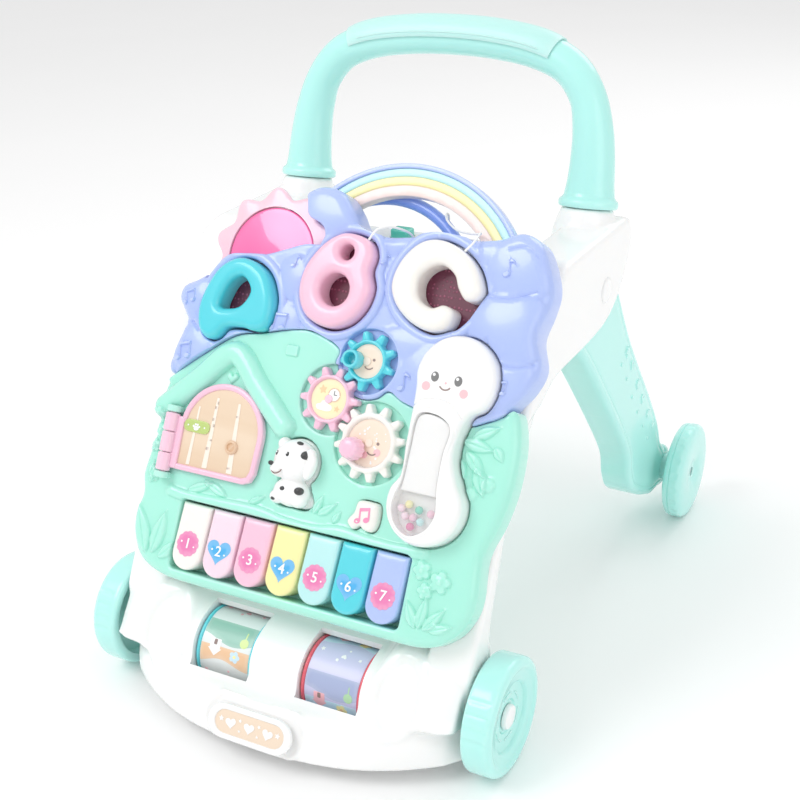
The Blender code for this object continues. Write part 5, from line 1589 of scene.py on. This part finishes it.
# ------------------------------------------------------------------ handle
def handle():
    right = [(HANDLE_X, 0), (HANDLE_X, 14), (121.5, 34), (119, 56), (112, 79), (96, 98), (70, 108.5),
             (36, 113.6)]
    path = smooth(right + [(0, HANDLE_TOP)] + [(-x, y) for x, y in reversed(right)], 6, closed=False)
    tangent = np.gradient(path, axis=0)
    tangent /= np.linalg.norm(tangent, axis=1, keepdims=True)
    normal = np.stack([tangent[:, 1], -tangent[:, 0]], 1)
    a = turns(56)
    rise = np.minimum(1.0, path[:, 1] / HANDLE_TOP * 1.5)
    wide, deep = 19.0 - 5.5 * rise, 17.5 - 3.5 * rise

    def ring(i):
        across = (path[i] + normal[i] * w for w in wide[i] * np.cos(a))
        return np.column_stack([list(across), deep[i] * np.sin(a)])

    def foot_rings(side):
        return [np.column_stack([side * (HANDLE_X + (18.5 + f) * np.cos(a)), np.full(56, y),
                                 (17.0 + f) * np.sin(a)]) for y, f in feet]

    feet = [(0.0, 2.8), (0.5, 3.5), (1.4, 3.9), (4.2, 3.9), (5.6, 3.2), (6.8, 1.6), (8.4, 0.6), (11.0, 0.2)]
    middle = [ring(i) for i in range(len(path)) if path[i, 1] > 14]
    obj = finish_mesh("handle_tube", *skin(foot_rings(1) + middle + foot_rings(-1)[::-1]), HANDLE, "frame",
                      "mint_light", 50, ["handle_bow"])
    # the grip: a lighter sleeve round the outside of the top, open along the underside
    use = [i for i in range(len(path)) if abs(path[i, 0]) <= 88 and path[i, 1] > 80]
    arch = np.radians(np.linspace(-97, 97, 41))
    rings = []
    for order, i in enumerate(use):
        near = min(order, len(use) - 1 - order)
        soften = (0.9, 0.35, 0.1)[near] if near < 3 else 0.0
        centre, n = path[i], normal[i]
        outer = [(wide[i] + 2.6 - soften - edge, deep[i] + 2.6 - soften - edge, b) for b, edge in
                 ((b, 0.9 * max(0.0, (abs(b) - math.radians(90)) / math.radians(7)) ** 2) for b in arch)]
        inner = [(wide[i] + 0.35, deep[i] + 0.35, b) for b in arch[::-1]]
        rings.append(np.array([(centre[0] + n[0] * w * math.cos(b), centre[1] + n[1] * w * math.cos(b),
                                d * math.sin(b)) for w, d, b in outer + inner]))
    grip = finish_mesh("grip_sleeve", *skin(rings), HANDLE, "frame", "grip", 45, ["handle_grip"])
    # the stitched edge beads along the sleeve
    for b in (-84, 84):
        bead = np.array([(path[i, 0] + normal[i, 0] * (wide[i] + 2.55) * math.cos(math.radians(b)),
                          path[i, 1] + normal[i, 1] * (wide[i] + 2.55) * math.cos(math.radians(b)),
                          (deep[i] + 2.55) * math.sin(math.radians(b))) for i in use[2:-2]])
        beading(f"grip_bead_{'front' if b > 0 else 'back'}", bead, 0.55, HANDLE, "frame", "grip",
                        8)


# ------------------------------------------------------------------ wheels
def turned_solid(name, profile, ripple, space, body, material, count=216, replaces=(), sharp=35):
    """A lathed profile whose radius also changes round the turn: ripple(along, radius, angle)."""
    p = np.asarray(profile, float)
    a = turns(count)
    rings = []
    for along, r in p:
        q = r + ripple(along, r, a)
        rings.append(np.column_stack([np.full(count, along), q * np.cos(a), q * np.sin(a)]))
    n = len(p)
    vertices = np.vstack(rings)
    faces = []
    for k in range(n):
        m = (k + 1) % n
        for i in range(count):
            j = (i + 1) % count
            faces.append((k * count + i, m * count + i, m * count + j, k * count + j))
    return finish_mesh(name, vertices, faces, space, body, material, sharp, replaces)


def wheels():
    for side, name in ((-1, "left"), (1, "right")):
        half, r = 11.0, WHEEL_RADIUS
        shape = [(-half, AXLE_BORE), (-half, 10), (-1, 11), (-1, r - 8.5), (-half + 0.4, r - 7.4),
                 (-half, r - 6.6), (-half, r - 3.0),
                 (-half + 0.3, r - 1.6), (-half + 1.2, r - 0.5), (-half + 2.6, r), (-6.5, r), (-4.5, r),
                 (-2, r), (0, r), (2, r), (3.6, r),
                 (half - 5.0, r), (half - 3.2, r - 0.35), (half - 1.6, r - 1.4), (half - 0.5, r - 3.2),
                 (half, r - 5.6), (half - 0.2, r - 7.2),
                 (half - 1.2, r - 8.6), (half - 2.0, r - 11.0), (half - 2.3, 28), (half - 3.3, 26.4),
                 (half - 5.0, 25.4), (half - 5.6, 23.5),
                 (half - 5.9, 18), (half - 6.2, 13), (3.6, 12.2), (4.4, 11.6), (4.4, 10.4), (4.0, 9.8),
                 (4.0, AXLE_BORE)]

        def tread(along, radius, angle, r=r):
            if radius < r - 0.01 or along > 6.2 or along < -9.0:
                return np.zeros(len(angle))
            block = np.mod(angle, 2 * math.pi / 3)
            out = np.zeros(len(angle))
            for place in (0.25, 0.47, 0.69, 0.91):
                out -= 0.8 * np.exp(-((block - place) / 0.035) ** 2)
            return out
        space = moved(WALKER, side * FRONT_WHEEL_X, 0, WHEEL_RADIUS)
        obj = turned_solid(f"front_wheel_{name}_tyre", [(side * x, q) for x, q in shape], tread, space,
                           f"front_wheel_{name}", "mint_light",
                           replaces=[f"front_wheel_{name}"])
        for k in range(6):
            b = 2 * math.pi * (k + 0.5) / 6
            c = np.array([(17.8 * math.cos(b + t), 17.8 * math.sin(b + t))
                          for t in np.linspace(-0.30, 0.30, 12)])
            path = np.column_stack([np.full(len(c), side * 5.0), c])
            beading(f"front_wheel_{name}_rib_{k}", path, 0.9, space, f"front_wheel_{name}",
                            "mint_light", 8)
        cap = [(163.6, 0.01), (163.6, 9.2), (165.6, 9.2), (166.8, 8.4), (167.4, 6.6), (167.7, 3.0),
               (167.7, 0.01)]
        hub = lathe(f"hub_cap_{name}", [(side * x, q) for x, q in cap], moved(WALKER, 0, 0, WHEEL_RADIUS),
                    "frame", "white",
                    count=56, replaces=[f"front_hub_cap_{name}"])
        half = 17.7 / 2
        shape = [(-half, AXLE_BORE), (-half, 10), (half - 5, 11), (half - 4, r - 7), (-half + 0.3, r - 6.2),
                 (-half, r - 5.2), (-half + 0.2, r - 3.6),
                 (-half + 1.5, r - 1.4), (-half + 3.2, r - 0.4), (-3.6, r - 0.2), (-3.1, r - 0.9),
                 (-2.6, r - 0.9), (-2.1, r - 0.1), (-1.0, r),
                 (0.6, r), (2.4, r), (4.0, r - 0.1), (half - 3.4, r - 0.7), (half - 2.0, r - 2.2),
                 (half - 1.0, r - 4.6), (half - 0.4, r - 8),
                 (half - 0.1, 30), (half, 24), (half - 0.4, 17), (half - 1.2, 12), (half - 2.4, 8.6),
                 (half - 2.8, 6.0), (half - 2.8, AXLE_BORE)]

        def blocks(along, radius, angle, r=r):
            if along < -0.5 or along > 4.2 or radius < r - 0.5:
                return np.zeros(len(angle))
            step = np.mod(angle, 2 * math.pi / 20) / (2 * math.pi / 20)
            return -0.55 + 0.5 * (np.abs(step - 0.5) < 0.3)
        space = moved(WALKER, side * REAR_WHEEL_X, REAR_AXLE_Y, WHEEL_RADIUS)
        obj = turned_solid(f"rear_wheel_{name}_tyre", [(side * x, q) for x, q in shape], blocks, space,
                           f"rear_wheel_{name}", "mint_light", count=240,
                           replaces=[f"rear_wheel_{name}"], sharp=40)


# ------------------------------------------------------------------ rear legs
LEG_ARC = arc(LEG_PIVOT, 34, 40, 190, 24)
LEG_FRONT = smooth([(171, 263), (173, 250), (205, 216), (262, 150), (298, 104), (305, 80), (317, 60),
                    (344, 42), (372, 29)], 4, closed=False)
LEG_BACK = smooth([(391, 78), (379, 103), (352, 140), (295, 211), (262, 262)], 4, closed=False)
LEG = np.vstack([LEG_ARC, LEG_FRONT, arc((REAR_AXLE_Y, WHEEL_RADIUS), 20, -120, 90, 24), LEG_BACK])


def legs():
    inside_x, outside_x = 116.0, 142.0
    for side, name in ((-1, "left"), (1, "right")):
        # X runs along the walker's Y and Z points out of its side
        space = matrix((0, -MIDDLE_Y, 0), (0, side, 0), (0, 0, 1), (side, 0, 0))
        outline = LEG * (side, 1)
        work = Relief(border(outline, outside_x, 5.5))
        spine = np.array([(286, 208), (300, 190), (316, 167), (332, 146), (348, 126), (362, 108)],
                         float) * (side, 1)
        marks = []
        for k, (place, size) in enumerate(zip(spine, (10, 9, 9, 9, 8, 7))):
            at = place + np.array([side * -3.0, -2.0])
            marks.append(heart(at, size * 1.15, side * -35) if k % 2 else star(at, size * 0.62, side * 20))
            spot = place + np.array([side * -15.0, -9.0])
            marks.append(circle(1.9, 20, spot))
        for mark in marks:
            work.emboss(mark, 0.9, soft=0.7, dome=0.3)
        bead = offset(resample(outline, 2.0), -7.5)
        work.groove(bead, 0.35, 1.0, closed=True)
        obj = relief(f"leg_{name}", outline, work.height, inside_x, space, f"rear_leg_{name}", "mint_light",
                     [f"rear_leg_{name}"], lines=work.lines,
                     spacing=4.0, edge=1.6, rings=(0.12, 0.5, 1.1, 2.0, 3.4, 5.5), sharp=50)
        hollow = offset(resample(outline, 2.5), -3.0)
        carve(obj, prism(hollow, inside_x - 2, outside_x - 3, 2), space)
        shade(obj, 45)
        across = [(inside_x + 1, PIVOT_BORE), (inside_x + 1, 10), (outside_x - 1, 10),
                  (outside_x - 1, PIVOT_BORE)]
        lathe(f"leg_pin_boss_{name}", [(side * x, r) for x, r in across],
              moved(WALKER, 0, LEG_PIVOT[0], LEG_PIVOT[1]),
              f"rear_leg_{name}", "mint_light", count=48)
        foot = [(inside_x + 5, AXLE_BORE), (inside_x + 5, 9), (136, 9), (136, 12), (152.6, 12),
                (153.2, 11.2), (153.2, AXLE_BORE)]
        lathe(f"leg_axle_boss_{name}", [(side * x, r) for x, r in foot],
              moved(WALKER, 0, REAR_AXLE_Y, WHEEL_RADIUS),
              f"rear_leg_{name}", "mint_light", count=48)
        # stiffening webs across the hollow
        for k, (y0, z0, y1, z1) in enumerate(((196, 236, 262, 258), (262, 156, 300, 198),
                                              (303, 92, 352, 132))):
            a, b = np.array((y0 + 3, z0 + 3.0)), np.array((y1 - 3, z1 - 2.0))
            d = (b - a) / np.linalg.norm(b - a)
            n2 = np.array((-d[1], d[0])) * 0.9
            web = np.array([a - n2, b - n2, b + n2, a + n2])
            finish_mesh(f"leg_web_{name}_{k}", *prism(web, side * 121.0, side * 139.5), WALKER,
                                f"rear_leg_{name}", "mint_light", 30)


# ------------------------------------------------------------------ rollers
def wrapped(name, outlines, radius, space, body, material, thickness=0.12, edge=0.8):
    """Printed shapes laid round a drum: X along the axle, Y round the drum, in millimetres."""
    solids = []
    for outline in outlines:
        v, f = relief_mesh(outline, lambda p: np.full(len(p), radius + thickness), radius - 0.35,
                           spacing=2.2, edge=edge, rings=())
        a = v[:, 1] / radius
        solids.append((np.column_stack([v[:, 0], -v[:, 2] * np.sin(a), v[:, 2] * np.cos(a)]), f))
    return finish_mesh(name, *together(*solids), space, body, material, 30)


def hills(low, high, waves):
    x = np.linspace(-21.2, 21.2, 30)
    top = high + waves[0] * np.sin(x * waves[1] + waves[2])
    return np.vstack([np.stack([x, np.full(30, low)], 1), np.stack([x, top], 1)[::-1]])


def rollers():
    edge, r = ROLLER_HALF, ROLLER_RADIUS
    skin_radius = r - 1.2
    for side, name, rim, paper in ((-1, "left", "turquoise", "ink_paper"),
                                   (1, "right", "red", "ink_lilac")):
        space = moved(WALKER, side * ROLLER_X, *ROLLER_AXIS)
        body = f"roller_{name}"
        for k, (low, high) in enumerate(((-edge, 3 - edge), (edge - 3, edge))):
            ring = [(low, 3.4), (low, 27.8), (low + 0.5, r - 0.4), (low + 1.1, r), (high - 1.1, r),
                    (high - 0.5, r - 0.4), (high, r - 1.4), (high, 3.4)]
            made = lathe(f"roller_{name}_rim_{k}", ring, space, body, rim, count=96,
                         replaces=[body] if k == 0 else ())
        sleeve = [(3.1 - edge, 20), (3.1 - edge, skin_radius), (edge - 3.1, skin_radius), (edge - 3.1, 20)]
        lathe(f"roller_{name}_sleeve", sleeve, space, body, paper, count=120)
        ground, second, patch = ("ink_sage", "ink_apricot",
                                 "ink_white") if side < 0 else ("ink_slate", "ink_sky", "ink_blush")
        for turn in (0, 1, 2):
            start = (turn - 1) * 59.3 + (6 if side < 0 else 22)
            wrapped(f"roller_{name}_ground_{turn}", [hills(start + 2, start + 17, (3.2, 0.11, turn))],
                    skin_radius, space, body, ground)
            wrapped(f"roller_{name}_field_{turn}", [hills(start + 22, start + 34, (-2.6, 0.14, turn + 1))],
                    skin_radius, space, body, second)
            cottage = [box_outline(-4.5, 4.5, 0, 7.5, 0.6) + (-9, start + 17),
                       np.array([(-15.0, start + 24.2), (-3.0, start + 24.2), (-9.0, start + 30)])]
            wrapped(f"roller_{name}_house_{turn}", cottage, skin_radius + 0.1, space, body, patch, edge=0.6)
            wrapped(f"roller_{name}_door_{turn}", [box_outline(-1.3, 1.3, 0.6, 4.6,
                                                               0.5) + (-9, start + 17)], skin_radius + 0.22,
                    space, body,
                    "ink_brown", edge=0.4)
            petals = [circle(1.9, 18, (9 + 2.7 * math.cos(b), start + 27 + 2.7 * math.sin(b)))
                      for b in np.radians(np.arange(0, 360, 72))]
            wrapped(f"roller_{name}_flower_{turn}", petals, skin_radius + 0.1, space, body,
                    "ink_sky" if side < 0 else "ink_yellow", edge=0.6)
            wrapped(f"roller_{name}_eye_{turn}", [circle(1.3, 16, (9, start + 27))], skin_radius + 0.25,
                    space, body, "ink_yellow" if side < 0 else "ink_orange",
                    edge=0.5)
            tree = [circle(3.6, 28, (14.5, start + 15.5)),
                    box_outline(14.0, 15.0, start + 7, start + 13, 0.3)]
            wrapped(f"roller_{name}_tree_{turn}", tree, skin_radius + 0.12, space, body,
                    "ink_lime" if side < 0 else "ink_green", edge=0.6)
            small = [star((-16.5, start + 44), 2.0, 10), star((15, start + 46), 1.6, -10),
                     circle(1.2, 14, (-2, start + 50)), circle(0.9, 14, (4, start + 40)),
                     heart((2, start + 46), 4.2, 8)]
            wrapped(f"roller_{name}_bits_{turn}", small, skin_radius + 0.1, space, body,
                    "ink_blush" if side < 0 else "ink_white", edge=0.5)


# ------------------------------------------------------------------ underside, back and latch
def screw(name, at, height, space, body):
    head = [(height, 0.01), (height, 2.9), (height + (0.9 if height > 0 else -0.9), 2.4),
            (height + (0.9 if height > 0 else -0.9), 0.01)]
    return lathe(name, head, moved(space, at[0], at[1], 0), body, "steel", axis="z", count=28)


def back_of_panel():
    back = -34.0
    box = box_outline(-104, 104, 130, 380, 10)
    flipped = PANEL @ Matrix.Rotation(math.pi, 4, "Y")
    mirror = box * (-1, 1)
    opening = box_outline(-40, 40, 150, 206, 4) * (-1, 1)
    grille = []
    for ring, count in ((0.0, 1), (5.2, 6), (10.4, 12), (15.6, 18)):
        for k in range(count):
            b = 2 * math.pi * k / count
            grille.append(circle(1.35, 14, (55 + ring * math.cos(b), 300 + ring * math.sin(b))))
    obj = plate("back_cover", mirror, -SHELL_BACK + 0.3, -back, flipped, "panel", "mint", radius=4.0,
                holes=[opening, *grille], spacing=7.0, edge=1.6,
                replaces=["panel_back_cover"])
    door_outline_back = box_outline(-39.4, 39.4, 150.6, 205.4, 3.5)
    work = Relief(lambda p: -back - edge_drop(line_distance(p, resample(door_outline_back, 1.0),
                                                            closed=True), 0.7))
    for y in (188, 192, 196):
        work.groove(np.array([(-12, y), (12, y)], float), -0.5, 0.9)
    obj = relief("battery_door", door_outline_back, work.height, -back - 2.2, flipped, "panel", "mint",
                 ["battery_cover"], lines=work.lines,
                 spacing=4.0, rings=(0.1, 0.4, 0.8))
    for k, (x, y) in enumerate(((-95, 139), (95, 139), (-95, 371), (95, 371), (-95, 255), (95, 255),
                                (0, 156.5))):
        screw(f"back_screw_{k}", (x, y), -back - 0.4, flipped, "panel")


def latch():
    outline = box_outline(4.4, 19.6, 143.4, 154.6, 2.2)
    work = Relief(border(outline, 332.2, 1.6))
    for y in (146.6, 149.0, 151.4):
        work.groove(np.array([(8, y), (16, y)], float), 0.5, 0.7)
    obj = relief("latch", outline, work.height, 318.0, WALKER, "latch_button", "mint_deep",
                 ["latch_button"], lines=work.lines, spacing=1.6,
                 edge=0.7, rings=(0.1, 0.4, 0.9, 1.6))
    cover = np.array([(x, bumper_front(x) + 9.5)
                      for x in np.linspace(-130, 130, 41)] + [(130, 15), (-130, 15)])
    under = plate("bottom_cover", cover, -14.2, -12.0, WALKER @ Matrix.Scale(-1, 4, (0, 0, 1)), "frame",
                  "white", radius=0.6,
                  replaces=["frame_bottom_cover"], spacing=8.0)


frame_body()
plaque()
handle()
wheels()
legs()
rollers()
back_of_panel()
latch()


# ------------------------------------------------------------------ studio
def studio():
    """Pale floor, soft lights and the camera at the photograph's angle."""
    mesh = bpy.data.meshes.new("floor")
    mesh.from_pydata([(-6, -6, 0), (6, -6, 0), (6, 6, 0), (-6, 6, 0)], [], [(0, 1, 2, 3)])
    floor = bpy.data.objects.new("floor", mesh)
    bpy.context.scene.collection.objects.link(floor)
    look = Look("floor")
    mesh.materials.append(look.wire(Base_Color=look.mix(look.noise(3.0, 2.0), (0.96, 0.96, 0.96),
                                                        (0.98, 0.98, 0.98)), Roughness=0.6))

    world = bpy.data.worlds.new("world")
    world.use_nodes = True
    world.node_tree.nodes["Background"].inputs["Color"].default_value = (1.0, 1.0, 1.0, 1)
    world.node_tree.nodes["Background"].inputs["Strength"].default_value = 0.82
    bpy.context.scene.world = world

    target = Vector((0, 0, 0.2))
    for name, place, size, power in (("key", (-0.9, -1.3, 1.9), 1.2, 17.0),
                                     ("fill", (1.9, -0.9, 1.1), 1.6, 6.0),
                                     ("back", (0.4, 1.9, 1.7), 1.4, 9.0)):
        light = bpy.data.lights.new(name, "AREA")
        light.shape = "DISK"
        light.size = size
        light.energy = power
        obj = bpy.data.objects.new(name, light)
        obj.location = place
        obj.rotation_euler = (target - Vector(place)).to_track_quat("-Z", "Y").to_euler()
        bpy.context.scene.collection.objects.link(obj)

    camera = bpy.data.cameras.new("camera")
    camera.sensor_width = 36.0
    camera.lens = 59.194
    camera.shift_x, camera.shift_y = -0.0064, 0.0974
    camera.clip_start, camera.clip_end = 0.01, 50.0
    azimuth, elevation, roll = math.radians(29.28), math.radians(28.0), math.radians(-2.18)
    back = Vector((math.sin(azimuth) * math.cos(elevation), -math.cos(azimuth) * math.cos(elevation),
                   math.sin(elevation)))
    right = Vector((math.cos(azimuth), math.sin(azimuth), 0))
    up = back.cross(right)
    c, s = math.cos(roll), math.sin(roll)
    x, y = c * right + s * up, -s * right + c * up
    stand = Matrix((x, y, back)).transposed().to_4x4()
    stand.translation = Vector((0.46384, -0.66677 - MIDDLE_Y * MM, 0.62179))
    obj = bpy.data.objects.new("camera", camera)
    bpy.context.scene.collection.objects.link(obj)
    obj.matrix_world = stand
    bpy.context.scene.camera = obj
    view_settings = bpy.context.scene.view_settings
    view_settings.view_transform = "Standard"
    view_settings.look = "None"


studio()
